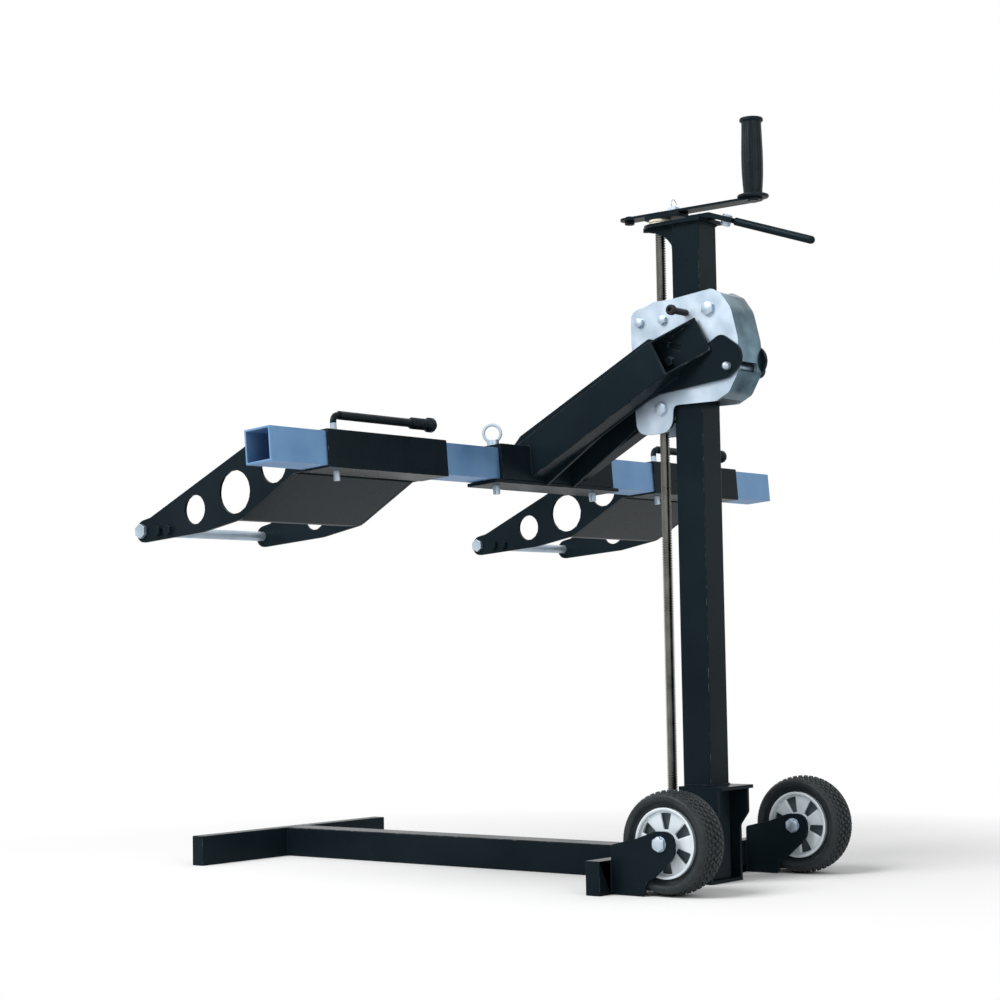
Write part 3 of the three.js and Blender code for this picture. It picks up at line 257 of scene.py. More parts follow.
# %% The group for a sprayed or rolled grain
CLOUD_FROM, CLOUD_TO = 0.3, 0.7


def build_fine_grain():
    tree, given, out = new_tree(
        "ShaderNodeTree", "fine grain", {"Grain size": 700.0, "Cloud size": 9.0},
        {"Height": FLOAT, "Cloud": FLOAT},
    )
    tree.links.new(noise_in(tree, given["Grain size"], detail=2.0), out["Height"])
    cloud = noise_in(tree, given["Cloud size"], detail=4.0)
    tree.links.new(stretch(cloud, CLOUD_FROM, CLOUD_TO), out["Cloud"])
    return tree


fine_grain = build_fine_grain()
print("group:", fine_grain.name)

# %% [markdown]
# Dust lies in specks on faces that look up. The upward part of the normal says
# where, a fine noise makes the specks, and the mask is their product. It needs
# no map, so it fits every piece.

# %% The group for dust that settles on upward faces
UP_FROM, UP_TO = 0.2, 1.0
SPECK_SCALE = 160.0
SPECK_FROM, SPECK_TO = 0.42, 0.75


def build_settled_dust():
    tree, given, out = new_tree("ShaderNodeTree", "settled dust", {"Amount": 0.3}, {"Mask": FLOAT})
    up = split(add_node(tree, "ShaderNodeTexCoord").outputs["Normal"])["Z"]
    specks = stretch(noise_in(tree, SPECK_SCALE, detail=6.0), SPECK_FROM, SPECK_TO)
    dust = times(stretch(up, UP_FROM, UP_TO), specks)
    tree.links.new(maths("MULTIPLY", dust, given["Amount"], clamp=True), out["Mask"])
    return tree


settled_dust = build_settled_dust()
print("group:", settled_dust.name)

# %% [markdown]
# ## Finishes
#
# The work photograph shows satin black powder coat with a cold tint, bluish
# zinc plating that is almost white where it faces the light, a galvanised
# cross tube that is clearly blue, bright steel, brass, rubber and silver rims.
#
# All finishes start alike: a base colour with slow clouds in it, a little dust,
# and a grain in the normal. Plated and painted metal adds bare metal on worn
# edges.

# %% The start of every finish, and the recipe for coated metal
DUST_COLOUR = (0.27, 0.285, 0.30, 1)
DUST_ROUGH = 0.8
GRAIN_DEPTH = 0.0004


def start_finish(name, colours, grain, cloud, dust, bump, shine):
    """A material, its shader's inputs, the masks of clouds and dust, and the base colour."""
    material = bpy.data.materials.new(name)
    material.use_nodes = True
    tree = material.node_tree
    shader = tree.nodes["Principled BSDF"].inputs
    shader["Specular IOR Level"].default_value = shine
    height, clouds = add_node(
        tree, "ShaderNodeGroup", {"node_tree": fine_grain}, {"Grain size": grain, "Cloud size": cloud}
    ).outputs
    normal = result(
        tree, "ShaderNodeBump", {}, {"Height": height, "Strength": bump, "Distance": GRAIN_DEPTH}
    )
    tree.links.new(normal, shader["Normal"])
    dusty = result(tree, "ShaderNodeGroup", {"node_tree": settled_dust}, {"Amount": dust})
    base = mix_colours(clouds, *[(*colour, 1) for colour in colours])
    return material, shader, clouds, dusty, base


def coated_metal(name, colours, bare, grain, cloud, wear, dust, rough, rough_change, metal, bump,
                 shine=0.5, tint=(1, 1, 1)):
    """Principled metal or paint with clouds, worn edges, dust and grain."""
    material, shader, clouds, dusty, base = start_finish(
        name, colours, grain, cloud, dust, bump, shine
    )
    tree = material.node_tree
    worn = result(tree, "ShaderNodeGroup", {"node_tree": worn_edges}, {"Amount": wear})
    coated = mix_colours(worn, base, (*bare, 1))
    roughness = mix_values(clouds, rough, rough + rough_change)
    metallic = mix_values(worn, metal, 1.0)
    tree.links.new(mix_colours(dusty, coated, DUST_COLOUR), shader["Base Color"])
    tree.links.new(mix_values(dusty, roughness, DUST_ROUGH), shader["Roughness"])
    tree.links.new(mix_values(dusty, metallic, 0.0), shader["Metallic"])
    shader["Specular Tint"].default_value = (*tint, 1)
    return material


# %% Mix the coated finishes
paint = coated_metal(
    "black powder coat", [(0.0038, 0.0075, 0.0105), (0.0066, 0.0125, 0.0165)], (0.42, 0.41, 0.39),
    grain=900, cloud=7, wear=0.36, dust=0.06, rough=0.24, rough_change=0.09, metal=0.0, bump=0.25,
    shine=0.07, tint=(0.6, 0.87, 1),
)
zinc = coated_metal(
    "bright zinc plate", [(0.34, 0.43, 0.52), (0.51, 0.60, 0.69)], (0.6, 0.62, 0.64),
    grain=1300, cloud=26, wear=0.45, dust=0.10, rough=0.34, rough_change=0.14, metal=0.75, bump=0.12,
)
# Darker zinc with streaky clouds: a painted dark reflection for the back of the carriage.
zinc_with_painted_reflection = coated_metal(
    "zinc with painted dark reflection", [(0.025, 0.055, 0.075), (0.17, 0.28, 0.35)], (0.6, 0.62, 0.64),
    grain=1300, cloud=19, wear=0.45, dust=0.05, rough=0.14, rough_change=0.10, metal=0.9, bump=0.05,
)
galvanised = coated_metal(
    "galvanised blue steel", [(0.11, 0.24, 0.44), (0.17, 0.32, 0.53)], (0.5, 0.55, 0.6),
    grain=500, cloud=14, wear=0.40, dust=0.15, rough=0.38, rough_change=0.12, metal=0.55, bump=0.10,
)
steel = coated_metal(
    "bright oiled steel", [(0.10, 0.10, 0.092), (0.20, 0.20, 0.185)], (0.7, 0.7, 0.7),
    grain=2200, cloud=40, wear=0.2, dust=0.12, rough=0.24, rough_change=0.12, metal=1.0, bump=0.10,
)
brass = coated_metal(
    "turned brass", [(0.50, 0.36, 0.15), (0.66, 0.50, 0.24)], (0.8, 0.66, 0.4),
    grain=1800, cloud=60, wear=0.2, dust=0.10, rough=0.26, rough_change=0.12, metal=1.0, bump=0.10,
)
rim_silver = coated_metal(
    "silver moulded rim", [(0.56, 0.63, 0.67), (0.70, 0.77, 0.81)], (0.6, 0.6, 0.6),
    grain=900, cloud=30, wear=0.0, dust=0.12, rough=0.42, rough_change=0.10, metal=0.15, bump=0.15,
    shine=0.4,
)
print("finishes:", [m.name for m in (paint, zinc, zinc_with_painted_reflection, galvanised, steel, brass, rim_silver)])

# %% [markdown]
# Rubber, plastic and nylon have no bare metal under them. They get pale scuffs
# instead, which are rougher than the rest, and a softer bump.

# %% The recipe for rubber and plastic, and its finishes
SCUFF_FROM, SCUFF_TO = 0.5, 0.8
SCUFF_SHARE = 0.35
SCUFF_ROUGHNESS = 0.12


def soft_finish(name, colours, scuff_colour, grain, cloud, dust, scuff, shine, rough, bump):
    """A dull moulded surface with clouds, dust and a skin of fine pits."""
    material, shader, _, dusty, base = start_finish(name, colours, grain, cloud, dust, bump, shine)
    tree = material.node_tree
    scuffs = stretch(noise_in(tree, scuff, detail=5.0), SCUFF_FROM, SCUFF_TO)
    scuffed = mix_colours(times(scuffs, SCUFF_SHARE), base, (*scuff_colour, 1))
    tree.links.new(mix_colours(dusty, scuffed, DUST_COLOUR), shader["Base Color"])
    tree.links.new(mix_values(scuffs, rough, rough + SCUFF_ROUGHNESS), shader["Roughness"])
    return material


tyre_rubber = soft_finish(
    "tyre rubber", [(0.008, 0.012, 0.014), (0.015, 0.021, 0.024)], (0.045, 0.053, 0.058),
    grain=1100, cloud=30, dust=0.13, scuff=120, shine=0.30, rough=0.52, bump=0.5,
)
grip_rubber = soft_finish(
    "grip rubber", [(0.005, 0.009, 0.012), (0.009, 0.015, 0.019)], (0.014, 0.02, 0.025),
    grain=1500, cloud=40, dust=0.05, scuff=200, shine=0.10, rough=0.32, bump=0.3,
)
nylon = soft_finish(
    "cream nylon", [(0.62, 0.58, 0.44), (0.74, 0.70, 0.57)], (0.45, 0.42, 0.33),
    grain=900, cloud=60, dust=0.10, scuff=300, shine=0.4, rough=0.42, bump=0.15,
)
# A darker grey for the rim's web: painted shade deep in the slots between the spokes.
rim_painted_shade = soft_finish(
    "rim web with painted shade", [(0.075, 0.105, 0.118), (0.125, 0.160, 0.175)], (0.09, 0.10, 0.11),
    grain=900, cloud=30, dust=0.05, scuff=200, shine=0.3, rough=0.5, bump=0.2,
)
black_plastic = soft_finish(
    "black plastic", [(0.007, 0.009, 0.010), (0.013, 0.015, 0.017)], (0.05, 0.05, 0.055),
    grain=1200, cloud=50, dust=0.08, scuff=260, shine=0.18, rough=0.38, bump=0.2,
)
print("finishes:", [m.name for m in (tyre_rubber, grip_rubber, nylon, rim_painted_shade, black_plastic)])

# %% [markdown]
# ## Which finish each piece has
#
# The table gives, for each CAD node, its finish and the radius of its edges
# in millimetres. A thick-walled tube has a larger radius than sheared plate.
# A second table gives how far the chords of large arcs and holes are cut back.
# Nodes that are rebuilt from scratch further down are not in this table.

# %% The table of rounded copies
ROUNDED = {
    "base_tube": (paint, 3.0), "front_foot": (paint, 2.5), "rear_bar": (paint, 1.5),
    "post_socket": (paint, 1.2), "screw_foot": (paint, 1.0), "post": (paint, 3.0),
    "top_plate": (paint, 1.2), "thrust_bearing": (nylon, 0.5), "handle_strap": (paint, 1.0),
    "handle_rod": (paint, 0.8), "crank_hub": (paint, 0.8), "crank_arm": (paint, 1.2),
    "crank_clip": (zinc, 0.3), "carriage_shell": (zinc, 1.0), "nut_bracket": (zinc, 1.0),
    "drive_nut": (brass, 0.6), "arm_web": (paint, 1.0), "arm_cheek_left": (paint, 1.0),
    "arm_cheek_right": (paint, 1.0), "arm_rail_left": (paint, 1.4), "arm_rail_right": (paint, 1.4),
    "head_bracket": (paint, 1.2), "head_base_plate": (paint, 1.2), "cross_tube": (galvanised, 2.0),
    "upper_roller": (steel, 0.8), "lower_roller": (steel, 0.8), "pull_pin": (black_plastic, 0.5),
    "arm_pin_knob": (black_plastic, 0.8), "arm_lock_pin": (zinc, 0.5),
    "ring_pin_left": (zinc, 0.4), "ring_pin_right": (zinc, 0.4),
}
ARC_CUT = {"carriage_shell": 2.2, "arm_cheek_left": 1.9, "arm_cheek_right": 1.9}
for side in ("left", "right"):
    ROUNDED["cradle_sleeve_" + side] = (paint, 2.0)
    for place in ("outer", "inner"):
        ROUNDED["cradle_plate_" + place + "_" + side] = (paint, 0.8)
        ARC_CUT["cradle_plate_" + place + "_" + side] = 3.0
    ROUNDED["cradle_panel_" + side] = (paint, 0.6)
    ROUNDED["cradle_rod_" + side] = (zinc, 0.8)
    ROUNDED["cradle_pin_" + side] = (zinc, 0.5)
    ROUNDED["cradle_grip_" + side] = (grip_rubber, 1.0)
print("rounded copies:", len(ROUNDED), "with arcs cut:", len(ARC_CUT))

# %% [markdown]
# ## Rounded edges
#
# A CAD solid has knife edges, and real steel never has. An edge that catches
# light tells the eye how thick and how worn a piece is, so each solid is
# copied, its loose triangles are merged into faces, and every sharp edge is
# rounded in two steps. The crest between the two steps is where paint wears
# off, and it gets the value 1 in the edge attribute. A Bevel modifier rounds
# edges too, but the bevel of bmesh hands back its new faces, which show where
# the crest is.
#
# A Weighted Normal modifier then keeps the large faces flat and bends the
# light only across the narrow rounded strips.

# %% Helpers that round the edges of a mesh
MERGE_DISTANCE = 4e-6
FLAT_ANGLE = math.radians(0.6)
ARC_ANGLE = math.radians(7)
CORNER_ANGLE = math.radians(29)
SHARP_ANGLE = math.radians(50)
CHORD_SPARE = 2.2


def merged_faces(mesh):
    """A bmesh of the mesh with its triangles joined into flat faces."""
    shape = bmesh.new()
    shape.from_mesh(mesh)
    bmesh.ops.remove_doubles(shape, verts=shape.verts, dist=MERGE_DISTANCE)
    bmesh.ops.dissolve_limit(shape, angle_limit=FLAT_ANGLE, verts=shape.verts, edges=shape.edges)
    return shape


def on_arc(edge, cut):
    """True for an edge between two chords of an arc, each long enough to be cut at both ends."""
    if len(edge.link_faces) != 2 or not ARC_ANGLE < edge.calc_face_angle() <= CORNER_ANGLE:
        return False
    chords = [other for point in edge.verts for other in point.link_edges if other is not edge]
    return len(chords) == 4 and min(chord.calc_length() for chord in chords) > CHORD_SPARE * cut


def round_arcs(shape, cut):
    """Cuts the corners of arcs that are made of chords, so their outline looks round."""
    bmesh.ops.bevel(
        shape, geom=[edge for edge in shape.edges if on_arc(edge, cut)], offset=cut,
        offset_type="OFFSET", segments=1, affect="EDGES", clamp_overlap=True,
    )


def round_corners(shape, radius):
    """Rounds sharp edges, writes 1 along their crests, and returns how many they are."""
    crest = shape.verts.layers.float.new("edge")
    corners = [
        edge for edge in shape.edges
        if len(edge.link_faces) == 2 and edge.calc_face_angle() > CORNER_ANGLE
    ]
    made = bmesh.ops.bevel(
        shape, geom=corners, offset=radius, offset_type="OFFSET", segments=2,
        profile=0.5, affect="EDGES", clamp_overlap=True,
    )
    strip = set(made["faces"])
    for point in shape.verts:
        on_crest = point.link_faces and all(face in strip for face in point.link_faces)
        point[crest] = 1.0 if on_crest else 0.0
    return len(corners)


# %% [markdown]
# Every visible piece ends the same way: as a plain mesh in an object that
# stays at the origin, rides on its body, and stands for its CAD node.

# %% Helpers that finish a piece
def finished_object(name, mesh, material):
    """A linked object of the mesh with one material, smooth where the surface is."""
    mesh.materials.clear()
    mesh.materials.append(material)
    mesh.polygons.foreach_set("use_smooth", [True] * len(mesh.polygons))
    mesh.polygons.foreach_set("material_index", [0] * len(mesh.polygons))
    mesh.set_sharp_from_angle(angle=SHARP_ANGLE)
    return link_object(name, mesh)


def second_finish(piece, material, chosen):
    """Paints the faces that the test chooses, and returns how many they are."""
    piece.data.materials.append(material)
    faces = [face for face in piece.data.polygons if chosen(face)]
    for face in faces:
        face.material_index = 1
    return len(faces)


def apply_modifiers(piece):
    """Turns the modified shape into a plain mesh, which the export needs."""
    bpy.context.view_layer.update()
    graph = bpy.context.evaluated_depsgraph_get()
    mesh = bpy.data.meshes.new_from_object(piece.evaluated_get(graph))
    piece.modifiers.clear()
    old = piece.data
    piece.data = mesh
    bpy.data.meshes.remove(old)
    mesh.name = piece.name


def body_of(node):
    return frame["nodes"][node]["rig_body"]


def settle(piece, material, body, *nodes):
    """Rides on its body and stands for the CAD nodes given. The material is not used."""
    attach(piece, body)
    if nodes:
        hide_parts(*nodes)
    return piece


# %% Round every node in the table
FLAT_WEIGHT = 80


def rounded_copy(node, material, radius):
    """A piece that stands for the node. Returns how many of its edges were rounded."""
    shape = merged_faces(frame["nodes"][node].data)
    if node in ARC_CUT:
        round_arcs(shape, ARC_CUT[node] / 1000)
    count = round_corners(shape, radius / 1000)
    mesh = bpy.data.meshes.new(node + "_rounded")
    shape.to_mesh(mesh)
    shape.free()
    piece = finished_object(node + "_rounded", mesh, material)
    flat = piece.modifiers.new("flat faces", "WEIGHTED_NORMAL")
    flat.keep_sharp = True
    flat.weight = FLAT_WEIGHT
    apply_modifiers(piece)
    settle(piece, material, body_of(node), node)
    return count


corner_count = 0
for node_name, (node_material, node_radius) in ROUNDED.items():
    corner_count += rounded_copy(node_name, node_material, node_radius)
print("edges rounded:", corner_count)

# %% [markdown]
# Two kinds of piece have a second finish. Every face of the carriage's sheet
# that doesn't look sideways gets a darker zinc, a painted dark reflection, so
# its back is darker than its sides. The bent ends of the cradle pins are
# painted, and their straight ends stay bright.

# %% Give faces a second finish
SIDEWAYS = 0.5
shell = scene.objects["carriage_shell_rounded"]
# Painted dark reflection on the faces that don't look sideways.
painted_reflection_faces = second_finish(shell, zinc_with_painted_reflection, lambda face: abs(face.normal.x) < SIDEWAYS)
elbow_count = 0
for side in ("left", "right"):
    pin = scene.objects["cradle_pin_" + side + "_rounded"]
    sleeve_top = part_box("cradle_sleeve_" + side)[1].z
    elbow_count += second_finish(pin, paint, lambda face: face.center.z > sleeve_top)
print("faces on the back:", painted_reflection_faces, "on the elbows:", elbow_count)

# %% [markdown]
# ## Geometry Nodes trees
#
# Bolts, weld beads, tread blocks and the thread repeat a small shape, so each
# is a Geometry Nodes tree with named inputs for its sizes. Helpers start and
# end a tree, and another one runs it on a mesh and keeps the result as a plain
# mesh. Inputs are set by the identifier of their socket, because two sockets
# may share a name.


# %% Start, end and run a tree
def shape_tree(name, sizes):
    """An empty Geometry Nodes tree: a geometry, the sizes given, and a finish."""
    inputs = {"Geometry": GEOMETRY, **sizes, "Finish": MATERIAL}
    return new_tree("GeometryNodeTree", name, inputs, {"Geometry": GEOMETRY})


def end_tree(tree, given, out, *parts):
    """The parts as one real geometry with the chosen finish."""
    joined = add_node(tree, "GeometryNodeJoinGeometry")
    for part in parts:
        tree.links.new(part, joined.inputs[0])
    real = result(tree, "GeometryNodeRealizeInstances", {}, {0: joined.outputs[0]})
    inputs = {"Geometry": real, "Material": given["Finish"]}
    tree.links.new(result(tree, "GeometryNodeSetMaterial", {}, inputs), out["Geometry"])
    return tree


def run_tree(name, tree, mesh, sizes, material):
    """Runs the tree on a mesh and returns an object that holds the plain result."""
    piece = link_object(name, mesh)
    modifier = piece.modifiers.new("shape", "NODES")
    modifier.node_group = tree
    values = dict(sizes, Finish=material)
    for socket in tree.interface.items_tree:
        if socket.in_out == "INPUT" and socket.name in values:
            modifier[socket.identifier] = values[socket.name]
    apply_modifiers(piece)
    piece.data.set_sharp_from_angle(angle=SHARP_ANGLE)
    return piece


def lifted(tree, geometry, level, turn=0.0):
    """The geometry turned about X, then moved up to the level."""
    inputs = {"Geometry": geometry, "Translation": vector(tree, z=level), "Rotation": (turn, 0, 0)}
    return result(tree, "GeometryNodeTransform", {}, inputs)


def moved_points(tree, geometry, x, y, z):
    """The geometry with its points at new places."""
    inputs = {"Geometry": geometry, "Position": vector(tree, x, y, z)}
    return result(tree, "GeometryNodeSetPosition", {}, inputs)


# %% [markdown]
# ## The lead screw
#
# The screw is a bright trapezoidal thread, 16 mm over the crests, that climbs
# 4 mm in each turn. A helix is a path, so the ridge is a small flat-topped
# profile swept along it, on a core that runs the whole length. The thread is
# right-handed: seen from above, it climbs as it goes round anticlockwise. The
# ridge is 1.2 times as high as the thread is deep, so it is rooted in the core.

# %% The tree for a threaded rod
RIDGE_FOOT, RIDGE_CREST = 0.66, 0.34
HALF_RIDGE = 0.6


def build_thread_tree():
    tree, given, out = shape_tree("threaded rod", {
        "Outer radius": 0.008, "Depth": 0.0016, "Pitch": 0.004,
        "Thread length": 0.9, "Foot": 0.06, "Steps in a turn": 18,
    })
    length, pitch = given["Thread length"], given["Pitch"]
    half = times(given["Depth"], HALF_RIDGE)
    middle = minus(given["Outer radius"], half)
    helix = result(tree, "GeometryNodeCurveSpiral", {}, {
        "Resolution": given["Steps in a turn"], "Rotations": over(length, pitch),
        "Start Radius": middle, "End Radius": middle, "Height": length, "Reverse": True,
    })
    upright = result(tree, "GeometryNodeSetCurveNormal", {"mode": "Z_UP"}, {0: helix})
    profile = result(tree, "GeometryNodeCurvePrimitiveQuadrilateral", {"mode": "TRAPEZOID"}, {
        "Bottom Width": times(pitch, RIDGE_FOOT), "Top Width": times(pitch, RIDGE_CREST),
        "Height": times(half, 2.0), "Offset": 0.0,
    })
    inputs = {"Curve": upright, "Profile Curve": profile, "Fill Caps": True}
    ridge = result(tree, "GeometryNodeCurveToMesh", {}, inputs)
    return end_tree(tree, given, out, lifted(tree, ridge, given["Foot"]), given["Geometry"])


thread_tree = build_thread_tree()
print("tree:", thread_tree.name)


# %% [markdown]
# Turned parts share one more helper: a list of radius and height pairs that
# is spun round an axis. It closes its poles and points its faces outwards.

# %% A helper for turned shapes
def turned_mesh(name, profile, centre, axis="Z", sides=48, ring=False):
    """A closed lathe shape from (radius, distance along the axis) pairs in millimetres.

    A ring's last pair joins its first one, as in a tyre.
    """
    along = "XYZ".index(axis)
    first, second = [i for i in range(3) if i != along]
    shape = bmesh.new()
    rings = []
    for radius, distance in profile:
        circle = []
        for step in range(sides if radius > 0 else 1):
            angle = 2 * math.pi * step / sides
            place = list(centre)
            place[along] += distance
            place[first] += radius * math.cos(angle)
            place[second] += radius * math.sin(angle)
            circle.append(shape.verts.new([value / 1000 for value in place]))
        rings.append(circle)
    neighbours = rings[1:] + rings[:1] if ring else rings[1:]
    for lower, upper in zip(rings, neighbours):
        for step in range(sides):
            corners = [lower[step % len(lower)], lower[(step + 1) % len(lower)],
                       upper[(step + 1) % len(upper)], upper[step % len(upper)]]
            unique = list(dict.fromkeys(corners))
            if len(unique) > 2:
                shape.faces.new(unique)
    bmesh.ops.recalc_face_normals(shape, faces=shape.faces)
    mesh = bpy.data.meshes.new(name)
    shape.to_mesh(mesh)
    shape.free()
    return mesh


def box_mm(node):
    """The corners of a CAD node in millimetres, and the middle between them."""
    low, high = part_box(node)
    low, high = low * 1000, high * 1000
    return low, high, (low + high) / 2


# %% Cut the thread
SCREW_PITCH = 4.0
THREAD_DEPTH = 1.7
THREAD_LENGTH = 948.0
BARE_FOOT = 24
NECK_STEP = 0.4
CHAMFER, TIP_CHAMFER = 1, 2
screw_low, screw_high, screw_middle = box_mm("lead_screw")
screw_radius = (screw_high.x - screw_low.x) / 2
core_radius = screw_radius - THREAD_DEPTH
neck_radius = screw_radius - NECK_STEP
thread_foot = screw_low.z + BARE_FOOT
neck_foot = thread_foot + THREAD_LENGTH
screw_core = turned_mesh("lead_screw_core", [
    (0, screw_low.z), (core_radius - CHAMFER, screw_low.z), (core_radius, screw_low.z + CHAMFER),
    (core_radius, thread_foot), (core_radius, neck_foot), (neck_radius, neck_foot + CHAMFER),
    (neck_radius, screw_high.z - TIP_CHAMFER), (neck_radius - TIP_CHAMFER, screw_high.z),
    (0, screw_high.z),
], (0, 0, 0))
lead_screw = run_tree("lead_screw_threaded", thread_tree, screw_core, {
    "Outer radius": screw_radius / 1000, "Depth": THREAD_DEPTH / 1000,
    "Pitch": SCREW_PITCH / 1000, "Thread length": THREAD_LENGTH / 1000,
    "Foot": thread_foot / 1000, "Steps in a turn": 18,
}, steel)
lead_screw.data.transform(Matrix.Translation((0, screw_middle.y / 1000, 0)))
settle(lead_screw, steel, "screw", "lead_screw")
print("thread turns:", THREAD_LENGTH / SCREW_PITCH, "faces:", len(lead_screw.data.polygons))

# %% [markdown]
# ## Bolts
#
# Every joint on the lift is a through bolt with washers and a nut, in two
# sizes. A hexagon is a circle whose radius grows towards six corners, and the
# crown of a real head is a cone that cuts those corners off, so the group
# takes the smaller of the two radii at every point of a many-sided bar.

# %% The group for a hexagonal head
CROWN_START, CROWN_SLOPE = 0.96, 1.8


def build_hex_head():
    tree, given, out = new_tree(
        "GeometryNodeTree", "hexagonal head", {"Flat radius": 0.01, "Height": 0.005},
        {"Geometry": GEOMETRY},
    )
    bar = result(tree, "GeometryNodeMeshCylinder", {}, {
        "Vertices": 48, "Side Segments": 6, "Radius": 1.0, "Depth": given["Height"],
    })
    x, y, z = split(result(tree, "GeometryNodeInputPosition"))
    sixth = math.pi / 3
    turn = plus(maths("ARCTAN2", y, x), 6 * sixth)
    from_flat = minus(maths("MODULO", turn, sixth), sixth / 2)
    flats = over(given["Flat radius"], maths("COSINE", from_flat))
    half = times(given["Height"], 0.5)
    slant = times(minus(half, z), CROWN_SLOPE)
    crown = plus(times(given["Flat radius"], CROWN_START), slant)
    reach = maths("MINIMUM", flats, crown)
    shaped = moved_points(tree, bar, times(x, reach), times(y, reach), plus(z, half))
    tree.links.new(shaped, out["Geometry"])
    return tree


hex_head = build_hex_head()
print("group:", hex_head.name)


# %% The tree for a through bolt
def disc_between(tree, radius, low, high):
    """A round bar along Z from low to high."""
    inputs = {"Vertices": 32, "Radius": radius, "Depth": minus(high, low)}
    bar = result(tree, "GeometryNodeMeshCylinder", {}, inputs)
    return lifted(tree, bar, times(plus(high, low), 0.5))


def hex_at(tree, radius, height, level, turn=0.0):
    """A hexagonal head that starts at the level and points up, or down after half a turn."""
    inputs = {"Flat radius": radius, "Height": height}
    head = result(tree, "GeometryNodeGroup", {"node_tree": hex_head}, inputs)
    return lifted(tree, head, level, turn)


def build_bolt_tree():
    tree, given, out = shape_tree("through bolt", {
        "Flat radius": 0.01, "Head height": 0.005, "Nut height": 0.005, "Shank radius": 0.006,
        "Grip": 0.07, "Washer radius": 0.0115, "Washer thickness": 0.001, "Stub": 0.001,
    })
    flat, washer, grip = given["Flat radius"], given["Washer radius"], given["Grip"]
    head_seat = times(given["Washer thickness"], -1.0)
    nut_seat = plus(grip, given["Washer thickness"])
    shank_end = plus(plus(nut_seat, given["Nut height"]), given["Stub"])
    return end_tree(
        tree, given, out,
        hex_at(tree, flat, given["Head height"], head_seat, math.pi),
        hex_at(tree, flat, given["Nut height"], nut_seat),
        disc_between(tree, washer, head_seat, 0.0),
        disc_between(tree, washer, grip, nut_seat),
        disc_between(tree, given["Shank radius"], head_seat, shank_end),
        given["Geometry"],
    )


bolt_tree = build_bolt_tree()
print("tree:", bolt_tree.name)

# %% Helpers that fit a bolt
HEAD_SPACE = 6.0
WASHER = 1.0
STUB = 0.6
LARGE = {"Flat radius": 0.00996, "Shank radius": 0.006, "Washer radius": 0.0115}
SMALL = {"Flat radius": 0.00693, "Shank radius": 0.004, "Washer radius": 0.0083}


def fit_bolt(node, sizes, grip, matrix, material=zinc, head=HEAD_SPACE, nut=HEAD_SPACE):
    """A bolt along Z from its head's seat, moved into place. Grip, head and nut are in millimetres."""
    heights = {
        "Grip": grip, "Stub": STUB, "Washer thickness": WASHER,
        "Head height": head - WASHER, "Nut height": nut - WASHER - STUB,
    }
    all_sizes = dict(sizes, **{name: height / 1000 for name, height in heights.items()})
    piece = run_tree(node + "_hex", bolt_tree, bpy.data.meshes.new(node), all_sizes, material)
    piece.data.transform(matrix)
    settle(piece, material, body_of(node), node)


def fit_cross_bolt(node, sizes):
    """A bolt along X, as long as its CAD node."""
    low, high, middle = box_mm(node)
    seat = Vector((low.x + HEAD_SPACE, middle.y, middle.z)) / 1000
    along_x = Matrix.Translation(seat) @ Matrix.Rotation(math.pi / 2, 4, "Y")
    fit_bolt(node, sizes, high.x - low.x - 2 * HEAD_SPACE, along_x)


# %% Fit the bolts that cross the lift
for bolt_name in ("wheel_bolt_left", "wheel_bolt_right", "upper_roller_bolt", "lower_roller_bolt"):
    fit_cross_bolt(bolt_name, LARGE)
for bolt_name in ("bracket_bolt_rear", "bracket_bolt_front"):
    fit_cross_bolt(bolt_name, SMALL)

# %% [markdown]
# The stop bolt stands upright in the crank's arm, and the handle bolt stands
# square to the strap, which slopes down behind its bend.

# %% Fit the stop bolt and the handle bolt
STOP_PLAY = 0.3
arm_low, arm_high, _ = box_mm("crank_arm")
stop_seat = Vector((0, box_mm("crank_stop_bolt")[2].y, arm_low.z - STOP_PLAY)) / 1000
fit_bolt(
    "crank_stop_bolt", dict(SMALL, **{"Shank radius": 0.0055}),
    arm_high.z - arm_low.z + 2 * STOP_PLAY, Matrix.Translation(stop_seat), paint, head=5.5, nut=3.2,
)

STRAP_SLOPE = math.radians(19.4)
STRAP_BEND = Vector((0, -382.589, 1035)) / 1000
STRAP_HOLE = (0, -0.027, 0.0083)
STRAP_GRIP = 8.6
strap_frame = Matrix.Translation(STRAP_BEND) @ Matrix.Rotation(STRAP_SLOPE, 4, "X")
upside_down = Matrix.Translation(STRAP_HOLE) @ Matrix.Rotation(math.pi, 4, "X")
fit_bolt("handle_bolt", SMALL, STRAP_GRIP, strap_frame @ upside_down, head=3.0, nut=7.0)

# %% [markdown]
# ## Tyres
#
# Each tyre is a spun carcass with a tread of small slanted blocks. The blocks
# stand in staggered rows on an ellipse, the section of the tread: row and
# place in the row come from the point's number, and the block's upright axis
# follows the normal of the ellipse. Every other row slants the other way.

# %% Helpers for tread blocks
BLOCK_TOP = 0.72


def tread_block(tree, given):
    """One block, a little narrower at its top."""
    size = vector(tree, given["Block width"], given["Block length"], given["Block height"])
    cube = result(tree, "GeometryNodeMeshCube", {}, {"Size": size})
    x, y, z = split(result(tree, "GeometryNodeInputPosition"))
    narrow = mix_values(maths("GREATER_THAN", z, 0.0), 1.0, BLOCK_TOP)
    return moved_points(tree, cube, times(x, narrow), times(y, narrow), z)


def round_axle(along, radius, turn):
    """The x, y and z of a point or direction at a turn about the X axis."""
    return along, times(radius, maths("COSINE", turn)), times(radius, maths("SINE", turn))


